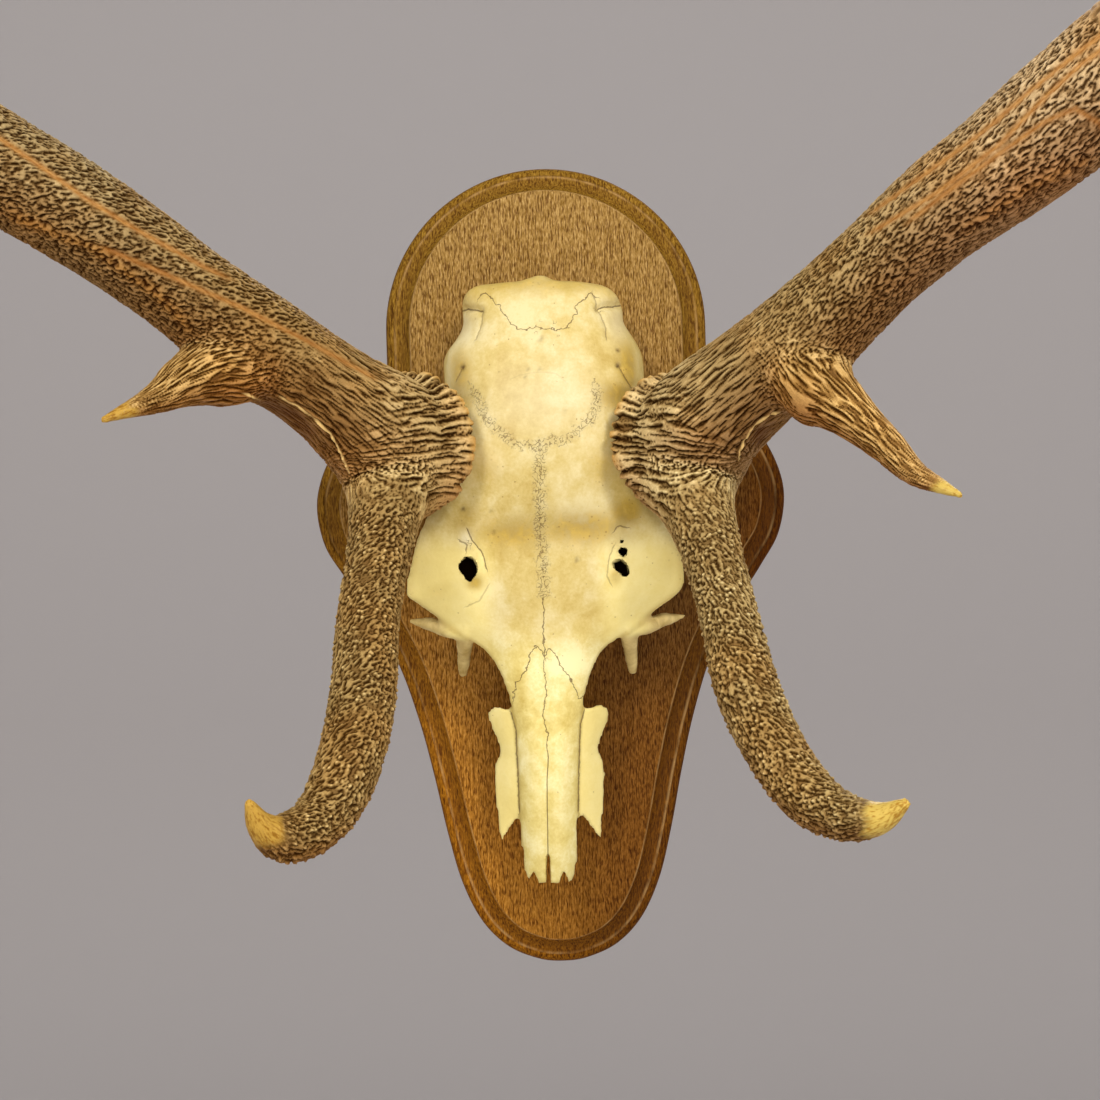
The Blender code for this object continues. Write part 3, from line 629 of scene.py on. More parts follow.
FORK_FILLET = 6.0                       # how softly tines run into the beam
FORK_PASSES, FORK_VOXEL = 60, 1.5       # rounds of smoothing at the forks, with voxels of this size
FORK_REACH = (4, 22)                    # gap to the second branch over which that smoothing ends
BURR_CLEAR = (4, 26)                    # distance from the burr over which the fillets set in
BURR_SWELL = 0.5                        # the most that a fillet adds at the burr
BEAD_SPACING = (3.9, 3.3, 3.3)          # along the branch and across it
BLEND_WIDTH = 6.0                       # how softly one branch's ridges give way to another's

# Per branch: length and width of its ridges, their height, the share of beads and the smooth tip's length
BRANCH_SKIN = {
    "beam": (3.8, 1.4, 2.0, 0.35, 0), "brow_tine": (4.2, 1.8, 2.0, 1.0, 34),
    "bez_tine": (12.0, 1.1, 0.95, 0.0, 30), "tray_tine": (8.0, 3.0, 1.3, 0.1, 60),
    "crown_top_tine": (8.0, 3.0, 1.2, 0.0, 70), "crown_rear_tine": (8.0, 3.0, 1.2, 0.0, 70),
    "crown_front_tine": (8.0, 3.0, 1.2, 0.0, 70),
}
# Where ridges start long and run on before they break up into short ones: length, start and end of the change
LONG_RIDGES = {"beam": (12.0, 85, 165), "brow_tine": (7.0, 30, 85)}
# Turn of the short ridges on the beams and on the brow tines, in radians
SLANT = {"left": {"beam": -0.5, "brow_tine": -0.6}, "right": {"beam": 0.1, "brow_tine": 0.4}}
BURR_RIDGE_HEIGHT = 0.9                 # more height at the burr, on top of the beam's own
BURR_REACH = 60.0
TEETH_HEIGHT, TEETH_REACH = 1.0, (7, 16)        # still more height at the burr's rim, and where it ends
# Noise between which ridges rise: long ones, short ones, and short ones on the brow tines
LONG_RISE, SHORT_RISE, BROW_RISE = (-0.4, 0.2), (-0.28, 0.24), (-0.18, 0.3)
# Ridges that spread from the burr like a fan: ridges to a radian at its rim, behind it and far from its axis
FAN_COUNTS = (14, 21, 36)
FAN_LENGTH = 11.0
FAN_RIM, FAN_FAR = (3, 20), (46, 76)    # where the counts change, along the burr's axis and from it
FAN_REACH = (54, 92)                    # millimetres from the burr over which the fan ends
SEAM_WIDTH, SEAM_SHARE, SEAM_BUMPS = 5.0, 0.85, 1.9     # bumps without direction, between beam and brow tine

# Lines on the front of each antler, as (x, z)
GROOVES = {
    "left": [[(-330, 262), (-286, 230.6), (-267.6, 217.6), (-244.6, 200.7), (-219, 184.7), (-189, 168.2),
              (-169, 158.7)],
             [(-242.7, 177), (-219.8, 167.7), (-197, 157.8), (-168.8, 145.8), (-132, 127.2), (-95, 107)]],
    "right": [[(171, 186.5), (203, 207.5), (230.7, 226.2), (252.8, 244.5), (271, 258.3), (287, 270.1),
               (320, 300)],
              [(170, 175.6), (207.5, 195.8), (237.4, 217.7), (259.4, 240), (277, 255.6), (286.4, 261.7),
               (318, 287)],
              [(188.8, 178.4), (215, 197.5), (237.3, 212.9), (259.3, 227.4), (273.9, 232.7), (280.2, 229),
               (288, 224.6), (310, 226)]],
}
WARM_RIDGES = {
    "left": [[(-289, 194.4), (-242.9, 175.4), (-213, 153.7), (-202, 142.7), (-193.4, 128.7)]],
    "right": [[(216.4, 172.1), (235, 185), (250, 194.2), (265.4, 201.3), (290.4, 211.6)]],
}
CRESTS = {
    "left": [[(-157, 102), (-141.4, 93), (-133.6, 87.6), (-124.7, 78.3), (-119.6, 67.7), (-112.7, 50)],
             [(-176, 100.5), (-166.1, 98.6), (-156, 93)]],
    "right": [[(136.2, 88.1), (123.3, 84.5), (113.5, 76.7), (108, 65.7), (107.7, 53.5)]],
}
HOLLOWS = {
    "left": [[(-169.7, 98.9), (-144.4, 87.1), (-130.7, 72)]],
    "right": [[(131, 80), (121, 74), (115, 62)]],
}
GROOVE_WIDTH, GROOVE_DEPTH = 1.5, 0.8
GROOVE_SPREAD = 1.7                     # how much wider a groove is than its smooth floor
MARK_FADE = 12                          # millimetres over which a line fades at its ends
RIDGE_SAG = 0.3                         # how far ridges lean down over the furrows below them
LIT_SIDE = {"left": (-0.45, 0, 0.89), "right": (0.3, 0, 0.95)}     # towards the light: the sides of the ridges turned away from it get painted shade
CREST_WIDTH, CREST_HEIGHT = 0.8, 1.3
HOLLOW_WIDTH, HOLLOW_DEPTH = 5.0, 1.5
WARM_WIDTH, WARM_HEIGHT = 3.2, 0.8
FINE_SPACING = 0.85                     # millimetres between the points of the antlers' fine front
# Cuts between the three pieces of each antler, as a point and the plane's direction
CUTS = {
    "left": [((-127, -158, 101), (-0.8, 0, 0.6)), ((-318, -259, 236), (-0.76, -0.2, 0.6))],
    "right": [((118, -161, 106), (0.8, 0, 0.6)), ((307, -272, 263), (0.7, -0.24, 0.68))],
}
# Colours from 0 to 255, and tints as factors
ANTLER_TONES = [(0.15, (86, 60, 29)), (0.4, (120, 91, 51)), (0.65, (160, 130, 83)), (0.9, (218, 188, 134))]
ANTLER_TINT = {"left": (1.03, 1.04, 1.0), "right": (1.09, 1.13, 1.14)}
OUTER_TINT = {"left": (1.02, 1.15, 1.46), "right": (1.36, 1.42, 1.9)}
OUTER_REACH = (0.14, 0.26)              # metres from the middle over which the outer tint sets in
TINE_TINT = {"brow_tine": (1.1, 1.16, 1.2), "bez_tine": (0.96, 0.8, 0.54)}
# Tint of the undersides: partly stain, partly painted shade from the light above.
UNDER_SHADE_AND_STAIN = {"left": (216, 180, 140), "right": (176, 136, 100)}
TIPS = {"left": ((186, 146, 62), (142, 98, 28)), "right": ((208, 178, 88), (166, 122, 42))}


def carried_frames(centres, first_direction=None):
    """A direction and two cross directions at each centre, carried along without twist."""
    directions = np.gradient(centres, axis=0)
    directions /= np.linalg.norm(directions, axis=1)[:, None]
    if first_direction is not None:
        directions[0] = first_direction / np.linalg.norm(first_direction)
    side = np.cross((0, 0, 1), directions[0])
    if np.linalg.norm(side) < 0.2:
        side = np.cross((1, 0, 0), directions[0])
    sides = []
    for direction in directions:
        side = side - direction * side.dot(direction)
        side = side / np.linalg.norm(side)
        sides.append(side)
    sides = np.array(sides)
    return directions, sides, np.cross(directions, sides)


class Branch:
    """One beam or tine: its centre line, radii and frames, in millimetres."""

    def __init__(self, name, points, seed, slant=0.0, first_direction=None, flare=None):
        rows, self.distances = smooth_path(points, TUBE_STEP)
        self.name, self.seed = name, seed
        self.centres, self.radii = rows[:, :3], rows[:, 3]
        if flare is not None:
            flare = np.array(flare, dtype=float)
            near = self.distances < flare[-1, 0]
            self.radii[near] = np.interp(self.distances[near], *flare.T)
        self.directions, self.sides, self.ups = carried_frames(self.centres, first_direction)
        self.length = self.distances[-1]
        skin = BRANCH_SKIN[name]
        self.ridge_length, self.ridge_width, self.height, self.bead_share, self.tip = skin
        self.body_radius = float(np.median(self.radii))
        self.slant = slant

    def rings(self):
        """Rings of points round the centre line, closing to a round end."""
        centres, radii = list(self.centres), list(self.radii)
        frames = list(zip(self.sides, self.ups))
        last_radius = radii[-1]
        for turn in END_ANGLES:
            centres.append(self.centres[-1] + self.directions[-1] * last_radius * math.sin(turn))
            radii.append(last_radius * math.cos(turn))
            frames.append(frames[-1])
        turns = np.arange(TUBE_SIDES) * math.tau / TUBE_SIDES
        return [centre + radius * (np.outer(np.cos(turns), side) + np.outer(np.sin(turns), up))
                for centre, radius, (side, up) in zip(centres, radii, frames)]

    def locate(self, points):
        """For each point: distance along, the two cross distances and the gap to the surface."""
        nearest = np.zeros(len(points), dtype=int)
        centres = self.centres.astype(np.float32)
        squares = (centres ** 2).sum(1)
        for start in range(0, len(points), BATCH):
            part = points[start:start + BATCH].astype(np.float32)
            nearest[start:start + BATCH] = np.argmin(squares - 2 * part @ centres.T, axis=1)
        offset = points - self.centres[nearest]
        slide = np.sum(offset * self.directions[nearest], axis=1)
        along = self.distances[nearest] + slide
        offset = offset - slide[:, None] * self.directions[nearest]
        a = np.sum(offset * self.sides[nearest], axis=1)
        b = np.sum(offset * self.ups[nearest], axis=1)
        radius = np.interp(along, self.distances, self.radii)
        beyond = np.maximum(0, np.maximum(-along, along - self.length))
        across = np.hypot(a, b)
        return along, a, b, radius, np.hypot(across, beyond) - radius

    def ridges(self, along, u, v, length, turn):
        """Noise drawn out along the branch, or at an angle to it, with its places a little bent."""
        cosine, sine = math.cos(turn), math.sin(turn)
        along, v = along * cosine + v * sine, v * cosine - along * sine
        bend = patches((along, u, v), (16, 11, 11), self.seed)
        lean = patches((along, u, v), (8, 6, 6), self.seed + 1)
        u, v = u / self.ridge_width, v / self.ridge_width
        bent = (along / length + 0.3 * lean, u + 0.8 * bend + 0.35 * lean, v + 0.8 * lean)
        first = swirl(np.column_stack(bent), self.seed + 2)
        second = swirl(np.column_stack((1.8 * along / length, 1.8 * u + 0.4 * lean, 1.8 * v)), self.seed + 3)
        return first + 0.25 * second

    def skin(self, along, a, b, radius):
        """The height from 0 to 1 of ridges, furrows and beads, and how much they stand out in millimetres."""
        scale = self.body_radius / np.maximum(radius, 2)
        u, v = a * scale, b * scale
        long_length, start, end = LONG_RIDGES.get(self.name, (self.ridge_length, 0, 1))
        late = eased(along + 0.5 * v, start, end)
        height = np.zeros(len(along))
        first, second = (u, v) if self.name == "beam" else (v, u)
        rise = BROW_RISE if self.name == "brow_tine" else SHORT_RISE
        for share, length, turn, levels in ((1 - late, long_length, 0, LONG_RISE),
                                            (late, self.ridge_length, self.slant, rise)):
            near = share > 0.01
            if near.any():
                found = self.ridges(along[near], first[near], second[near], length, turn)
                height[near] += share[near] * eased(found, *levels)
        if self.bead_share > 0:
            places = np.column_stack((along, u, v)) / BEAD_SPACING
            apart = beads(places + 0.3 * swirl(places / 2, self.seed + 1)[:, None], self.seed + 4)
            dense = eased(patches((along, u, v), (9, 7, 7), self.seed + 5), -0.45, 0.1)
            share = self.bead_share * dense * late
            height = np.maximum(0.75 * height * (1 - 0.3 * share), apart * share)
        broad = patches((along, u, v), (26, 15, 15), self.seed + 6)
        strength = self.height * (1 + 0.5 * broad) * np.minimum(1, radius / 11)
        if self.name == "beam":
            strength = strength + BURR_RIDGE_HEIGHT * (1 - eased(along, 6, BURR_REACH))
            teeth = TEETH_HEIGHT * (1 - eased(along, *TEETH_REACH))
            strength = (strength + teeth) * eased(along, -0.5, 2.5)
        if self.tip:
            rough = eased(self.length - along + 9 * broad, self.tip * 0.35, self.tip)
            strength = strength * rough
        else:
            rough = np.ones(len(along))
        return np.clip(height, 0, 1), strength, 1 - rough


def fan(points, side):
    """Ridges that spread from the burr over beam and brow tine alike: their height and their share."""
    axis = np.array(BURR_AXIS[side]) / np.linalg.norm(BURR_AXIS[side])
    offset = points - np.array(BEAM[side][0][:3])
    away = np.linalg.norm(offset, axis=1)
    share = 1 - eased(away + 10 * swirl(points / 13, 61), *FAN_REACH)
    height = np.zeros(len(points))
    near = share > 0.01
    offset, away, places = offset[near], away[near], points[near]
    along = offset @ axis
    sideways = offset - np.outer(along, axis)
    across = np.linalg.norm(sideways, axis=1)
    turn = sideways / np.maximum(across, 1)[:, None]
    bend = np.column_stack([swirl(places / 15, seed) for seed in (62, 63, 64)])
    lean, waver = swirl(places / 7, 65), swirl(places / 5, 69)
    rim, far = 1 - eased(along, *FAN_RIM), eased(across, *FAN_FAR)
    shares = np.array((rim, (1 - rim) * (1 - far), (1 - rim) * far))
    shares /= np.linalg.norm(shares, axis=0)
    found = 0.2 * swirl(places / 1.7, 68)
    for seed, (count, share_here) in enumerate(zip(FAN_COUNTS, shares)):
        spread = turn * count + np.outer(away / FAN_LENGTH + 0.4 * lean, axis)
        found += swirl(spread + 0.7 * bend + 0.4 * waver[:, None], 66 + seed) * share_here
    height[near] = eased(found, -0.42, 0.22)
    return height, share


def antler_branches(side):
    """The beam and the tines of one antler."""
    seed = {"left": 100, "right": 200}[side]
    slant = SLANT[side]
    branches = [Branch("beam", BEAM[side], seed, slant["beam"], np.array(BURR_AXIS[side]), BURR_FLARE)]
    for index, (name, points) in enumerate(TINES[side].items()):
        branches.append(Branch(name, points, seed + 10 * (index + 1), slant.get(name, 0.0)))
    return branches


def rough_antler(side, branches, voxel):
    """One antler without its skin: its tubes made one solid, with soft forks, in millimetres."""
    mesh = closed_tubes(side + "_antler", [branch.rings() for branch in branches])
    mesh = with_modifier(mesh, "REMESH", mode="VOXEL", voxel_size=voxel)
    points = points_of(mesh)
    gaps = np.array([branch.locate(points)[4] for branch in branches])
    ordered = np.sort(gaps, axis=0)
    swell = FORK_FILLET * np.log(np.exp(-(gaps - ordered[0]) / FORK_FILLET).sum(0))
    along = branches[0].locate(points)[0]
    clear = eased(along, *BURR_CLEAR)
    swell = swell * clear + (1 - clear) * np.minimum(swell, BURR_SWELL)
    swell[along < 0] = 0
    points = points + normals_of(mesh) * swell[:, None]
    fork = 1 - eased(ordered[1], *FORK_REACH)
    points = relaxed(mesh, points, 0.5 * fork, round(FORK_PASSES * (FORK_VOXEL / voxel) ** 2))
    points = relaxed(mesh, points, np.full(len(points), 0.5), 2)
    set_points(mesh, points)
    set_fields(mesh, facing=normals_of(mesh))
    return mesh


def cut_piece(mesh, below, above, finer):
    """A copy of the mesh, kept below one plane and above another, its front made finer if wanted."""
    made = bpy.data.meshes.new(mesh.name)
    with opened(mesh, made) as shape:
        for plane, keep_below in ((below, True), (above, False)):
            if plane is not None:
                geometry = shape.verts[:] + shape.edges[:] + shape.faces[:]
                bmesh.ops.bisect_plane(shape, geom=geometry, plane_co=plane[0], plane_no=plane[1],
                                       clear_outer=keep_below, clear_inner=not keep_below)
        if finer:
            facing = shape.verts.layers.float_vector["facing"]
            camera = CAMERA_PLACE / MM
            in_view = {vertex for vertex in shape.verts if vertex[facing].dot(camera - vertex.co) > 0}
            edges = [edge for edge in shape.edges if in_view.issuperset(edge.verts)]
            bmesh.ops.subdivide_edges(shape, edges=edges, cuts=1, use_grid_fill=True)
    return made


def mixed_relief(first, second, share):
    """Two reliefs from 0 to 1 mixed, as strong as each on its own."""
    mixed = 0.5 + ((first - 0.5) * (1 - share) + (second - 0.5) * share) / np.hypot(share, 1 - share)
    return np.clip(mixed, 0, 1)


def marks(flat, lines, width):
    """Soft lines of height 1, faded at their ends."""
    found = np.zeros(len(flat))
    for line in lines:
        apart, place, length = line_distance(flat, line)
        ends = eased(place, 0, MARK_FADE) * eased(length - place, -0.1, MARK_FADE)
        found = np.maximum(found, np.exp(-(apart / width) ** 2) * ends)
    return found


def carve_skin(mesh, side, branches):
    """Raise the ridges, beads and grooves, and store what the material needs."""
    points, facing = points_of(mesh), vectors(mesh.attributes["facing"].data, "vector")
    facing /= np.maximum(np.linalg.norm(facing, axis=1), 1e-6)[:, None]
    located = [branch.locate(points) for branch in branches]
    gaps = np.array([found[4] for found in located])
    weights = np.exp(-(gaps - gaps.min(0)) / BLEND_WIDTH)
    weights /= weights.sum(0)
    height, strength, tip = np.zeros((3, len(points)))
    straight = np.zeros((len(points), 3))
    tinted = {name: np.zeros(len(points)) for name in TINE_TINT}
    for branch, (along, a, b, radius, _), weight in zip(branches, located, weights):
        near = weight > 0.01
        if not near.any():
            continue
        found = branch.skin(along[near], a[near], b[near], radius[near])
        for total, part in zip((height, strength, tip), found):
            total[near] += weight[near] * part
        straight[near] += weight[near][:, None] * np.column_stack((along, a, b))[near]
        if branch.name in tinted:
            tinted[branch.name][near] += weight[near]
    height = np.clip(0.45 + (height - 0.45) / np.sqrt((weights ** 2).sum(0)), 0, 1)
    height = mixed_relief(height, *fan(points, side))
    seam = SEAM_SHARE * np.exp(-((gaps[0] - gaps[1]) / SEAM_WIDTH) ** 2) * eased(located[0][0], 20, 40)
    height = mixed_relief(height, eased(swirl(points / SEAM_BUMPS, 71), -0.3, 0.3), seam)
    front = eased(-facing[:, 1], -0.1, 0.25)
    groove, wide, crest, hollow, warm = (
        front * marks(points[:, ::2], lines[side], width)
        for lines, width in ((GROOVES, GROOVE_WIDTH), (GROOVES, GROOVE_WIDTH * GROOVE_SPREAD),
                             (CRESTS, CREST_WIDTH), (HOLLOWS, HOLLOW_WIDTH), (WARM_RIDGES, WARM_WIDTH)))
    strength = strength * (1 - 0.85 * np.maximum(groove, 0.7 * wide)) * (1 + 0.4 * warm) * (1 - 0.5 * hollow)
    lift = ((height - 0.3) * strength + CREST_HEIGHT * crest + WARM_HEIGHT * warm
            - GROOVE_DEPTH * wide - HOLLOW_DEPTH * hollow)
    points = points + facing * lift[:, None]
    points[:, 2] -= RIDGE_SAG * np.maximum(lift, 0) * front
    set_points(mesh, points * MM)
    turned = normals_of(mesh)
    towards = relaxed(mesh, points, np.ones(len(points)), 2) - points
    depth = np.sum(towards * turned, axis=1) / (spacing_of(mesh, points) / FINE_SPACING) ** 1.5
    # Painted shade: the sides of the ridges that turn away from the light are darkened, on top of the dirt in
    # the furrows' hollows.
    painted_shade_side = eased((facing - turned) @ np.array(LIT_SIDE[side]), 0.12, 0.6)
    cavity = 0.85 * eased(depth, 0.03, 0.22) + 0.8 * painted_shade_side * (1 - 0.5 * height)
    set_fields(mesh, relief=height * (1 - groove) + 0.4 * groove, cavity=np.clip(cavity, 0, 1) * (1 - tip),
               rim=(1 - eased(located[0][0], 7, 13)) * (1 - eased(gaps[0], 2, 5)), tip=tip, groove=groove,
               crest=crest, warm=warm, hollow=hollow, under=eased(-facing[:, 2], -0.2, 0.75),
               straight=straight * MM, **tinted)
    mesh.attributes.remove(mesh.attributes["facing"])


def antler_look(side):
    """Antler: dark furrows, partly dirt and partly painted shade, tan crests, ivory tips, smooth reddish
    grooves; undersides darker, partly as painted shade; the burr's teeth partly a painted highlight.
    """
    look = Look(side + "_antler")
    where, straight = look.place(), look.field("straight", "Vector")
    relief, tip, cavity, under = (look.field(name) for name in ("relief", "tip", "cavity", "under"))
    grain = look.noise(straight, (7, 1.1, 1.1), 3, 0.6)
    speck = look.noise(where, 1.0, 2, 0.6)
    mottle = look.noise(where, 26, 3)
    tone = relief * 0.5 + grain * 0.3 + speck * 0.25 + (mottle - 0.5) * 0.3
    tones = [(place, *np.multiply(colour, ANTLER_TINT[side])) for place, colour in ANTLER_TONES]
    base = look.ramp(tone, *tones)
    base = look.tint(base, srgb(255, 222, 176), look.noise(where, 45, 2).within(0.45, 0.7, 0.1, 0.45))
    base = look.tint(base, OUTER_TINT[side], abs(look.axes(where)[0]).within(*OUTER_REACH))
    # Furrows darkened: partly dirt, partly painted shade below the ridges.
    base = look.mix(cavity * 0.96, base, srgb(34, 13, 0))
    # The burr's teeth lighter on top and not below: partly their worn colour, partly a painted highlight.
    rim = look.field("rim") * under.within(0.3, 0.7, 1.0, 0.1) * relief.within(0.55, 0.95)
    base = look.mix(rim * 0.75, base, srgb(222, 170, 84))
    for name, colour in TINE_TINT.items():
        base = look.tint(base, colour, look.field(name))
    groove = look.ramp(grain, (0.3, 140, 86, 36), (0.7, 192, 140, 74))
    warm = look.ramp(relief + speck * 0.3, (0.25, 72, 34, 4), (0.9, 198, 146, 62))
    base = look.mix(look.field("groove") * 0.8, base, groove)
    base = look.mix(look.field("warm") * 0.45, base, warm)
    # Undersides darkened: partly stain, partly painted shade from the light above.
    base = look.tint(base, srgb(*UNDER_SHADE_AND_STAIN[side]), under * 0.75)
    base = look.mix(look.field("hollow") * 0.5, base, srgb(84, 46, 20))
    base = look.mix(look.field("crest").within(0.4, 0.9, 0.0, 0.95), base, srgb(226, 188, 118))
    streak = (grain * 0.7 + mottle * 0.3).within(0.44, 0.62)
    ivory = look.mix(streak, *[srgb(*colour) for colour in TIPS[side]])
    share = (tip + (grain - 0.5) * 0.5).within(0.35, 0.85)
    gloss = cavity.within(0, 0.5, 1.0, 0.0) * relief.within(0.6, 1.0, 0.08, 0.35)
    return look.finish(Base_Color=look.mix(share, base, ivory), Roughness=share.within(0, 1, 0.6, 0.36),
                       Normal=look.bump(grain * 0.6 + speck * 0.5, 0.22), Specular_IOR_Level=gloss)


def make_antler(side):
    """One antler in three pieces: burr with brow tine, middle with bez tine, and top."""
    branches = antler_branches(side)
    whole, coarse = (rough_antler(side, branches, voxel) for voxel in (ANTLER_VOXEL, TOP_VOXEL))
    low, high = CUTS[side]
    look = antler_look(side)
    plans = [("base", low, None, True, ["lower_beam", "brow_tine"]),
             ("middle", high, low, True, ["lower_beam", "middle_beam", "bez_tine"]),
             ("top", None, high, False, ["middle_beam", "upper_beam", "tray_tine", "crown_top_tine",
                                         "crown_rear_tine", "crown_front_tine"])]
    for name, below, above, finer, nodes in plans:
        mesh = cut_piece(whole if finer else coarse, below, above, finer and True)
        carve_skin(mesh, side, branches)
        with opened(mesh) as shape:
            bmesh.ops.holes_fill(shape, edges=[edge for edge in shape.edges if edge.is_boundary], sides=0)
        mesh.shade_smooth()
        new_piece(f"{side}_antler_{name}", mesh, look, "antler", *[f"{side}_{node}" for node in nodes])
    bpy.data.meshes.remove(whole)
    bpy.data.meshes.remove(coarse)


# Skull

SKULL_SHIFT = -4                        # the skull was screwed on a little left of the shield's middle
# Curves over z: half widths, heights above the front of the shield, and then the rim's depth and the two
# powers that round each section off
SKULL_LEFT = [(177.5, 3), (175.4, 9), (174.3, 15), (173.5, 33), (171.8, 41.3), (168, 46.7), (164, 48.9),
              (158.5, 49.2), (152, 48.6), (147, 49.8), (140.6, 53.7), (134, 59), (126.8, 61.5), (115, 61),
              (98, 57), (84, 57), (66, 60), (52, 62), (40, 66.5), (28, 73), (15, 79), (0, 83), (-11, 85.5),
              (-16, 86), (-22, 78.5), (-29, 69), (-37, 59), (-45, 46.5), (-52, 37.5), (-60, 32), (-70, 27.5),
              (-85, 23.2), (-104, 20.8), (-127, 19.8), (-152, 19.2), (-176, 18), (-189, 16.6), (-196, 13.5)]
SKULL_RIGHT = [(177.5, 3), (175.7, 5), (174.6, 9.4), (173.4, 24), (172.5, 33.8), (170.7, 40.1), (167.2, 45.4),
               (162.3, 48.6), (155.7, 50.4), (151, 50.6), (142.4, 55.2), (135.8, 59.5), (127.4, 62.4),
               (116, 63), (98, 58), (84, 57), (66, 59), (52, 61), (40, 65.5), (28, 72), (15, 79), (0, 84),
               (-11, 84.5), (-16, 82.5), (-22, 76), (-29, 66), (-37, 56.5), (-45, 44.5), (-52, 34.5),
               (-60, 29.5), (-70, 25.5), (-85, 21.5), (-104, 19.6), (-127, 18.6), (-152, 17.8), (-176, 16.8),
               (-189, 15.4), (-196, 12.5)]
SKULL_CROWN = [(176, 50), (172, 53.5), (162, 60), (143, 67.5), (112, 77.5), (88, 84), (64, 87), (44, 84.5),
               (15, 77), (-16, 71.5), (-58, 61.5), (-100, 52), (-150, 44), (-196, 36.5)]
SKULL_RIM = [(176, 46), (167, 38), (157, 28), (134, 20), (118, 24), (100, 38), (84, 56), (64, 64), (40, 65),
             (15, 60), (-16, 54), (-44, 53), (-66, 49.5), (-100, 42), (-150, 34.5), (-196, 29.5)]
SKULL_TOP = 177.5
SKULL_RIM_DEPTH = [(176, 5), (118, 14), (88, 12), (64, 10), (40, 7.5), (15, 5.5), (-16, 5), (-50, 4),
                   (-196, 3)]
SKULL_BULGE = [(176, 2.2), (150, 2.6), (112, 2.8), (64, 3.4), (36, 2.6), (0, 2.2), (-50, 2), (-196, 2)]
SKULL_FALL = [(176, 1.6), (134, 2.2), (112, 2.2), (88, 1.6), (64, 1.2), (36, 1), (-50, 1), (-90, 1.3),
              (-196, 1.3)]
# The wall under the overhanging plates: where it leaves them, and where it stands on the shield
SKULL_NECK = [(176, 0.95), (110, 0.97), (88, 0.92), (64, 0.86), (44, 0.76), (28, 0.6), (0, 0.47), (-16, 0.43),
              (-32, 0.5), (-48, 0.68), (-60, 0.72), (-196, 0.72)]
SKULL_SHELF = [(176, 43), (167, 20), (134, 9), (110, 12), (88, 30), (64, 46), (44, 54), (28, 58), (0, 60),
               (-16, 58.5), (-32, 56), (-48, 54), (-60, 51), (-100, 43.5), (-150, 36.2), (-196, 31)]
SKULL_FOOT = [(176, 0.7), (164, 0.9), (110, 0.95), (88, 0.92), (64, 0.85), (44, 0.66), (28, 0.53), (0, 0.43),
              (-16, 0.38), (-32, 0.4), (-48, 0.45), (-60, 0.4), (-196, 0.35)]
SKULL_LIFT = [(176, 40), (172, 26), (167, 9), (161, 0.3), (-24, 0.3), (-34, 16), (-46, 44), (-58, 54.5),
              (-72, 53.5), (-100, 47.5), (-150, 39.6), (-196, 32.6)]
SKULL_EDGE_TUCK = 0.985
SKULL_ROW_STEP = 1.5
SKULL_SAMPLES = 26                      # points across half of each section's upper side
SKULL_VOXEL = 1.7

STRIP_OUTER = [(33.5, -86, 38), (38, -92, 34), (31, -113, 31), (34.5, -126, 28), (33.5, -150, 25),
               (31, -172, 24)]
STRIP_INNER = [(21.5, -88, 44), (19.5, -97, 42), (18, -113, 39.5), (17.2, -126, 37.5), (16.5, -148, 34.5),
               (29, -169, 25)]
STRIP_THICKNESS, STRIP_BULGE, STRIP_STEP = 2.6, 1.0, 2.0
SPUR_SIDE = [(48, -40, 53, 5), (60, -38.5, 49, 5), (70, -35, 43, 4.6), (77, -34, 37.5, 3.4),
             (85, -32.5, 33, 1.6)]
SPUR_PRONG = [(49, -34, 53, 7), (50.5, -46, 44, 5.4), (51.5, -54, 33, 4.4), (52.5, -62, 24, 3.8),
              (53, -68.5, 18, 2.4)]
SPUR_SIDES, PEDICLE_SIDES = 16, 48
PEDICLE_LENGTH = 50
PEDICLE_GAP = 0.3                       # between a bone stub and its burr
# Radii of the antlers' bone stubs, by the share of their length from the burr
PEDICLE_RADII = [(1, 32), (0.5, 28.5), (0.25, 27.0), (0.08, 26.6), (0, 26.5)]

# Vessel holes as outlines of (x, z), and the height of their floors above the shield
HOLES = [
    [(-48.2, 5.6), (-44.2, 4.2), (-42.2, 0.2), (-42.6, -3.6), (-46.6, -8.6), (-48.6, -4.6), (-51.6, -1.6),
     (-51.4, 2.4)],
    [(40.4, 1.3), (45, 2), (48.4, -0.6), (49.4, -6.2), (47, -5.9), (42.6, -2.8)],
    [(45.0, 8.6), (46.8, 9.6), (48.8, 8.2), (48.8, 6.6), (46.8, 5.6), (45.2, 6.6)],
    [(45.9, 14.4), (46.9, 14.8), (47.3, 13.6), (46.2, 13.2)],
]
HOLE_FLOOR = 63
HOLE_CLEARANCE = 12                     # how far the holes' cutters stand out of the bone
PIT_DEPTH = 1.2
# Notches between the tips of the nasals, as (x, depth, half width)
NASAL_NOTCHES = [(-10.8, 7.5, 3.2), (-1.8, 17, 1.0), (7.6, 7.5, 3.0)]
NASAL_TIP = -196
NOTCH_LEVELS = (20, 50)                 # heights above the shield that the notches' cutters cross

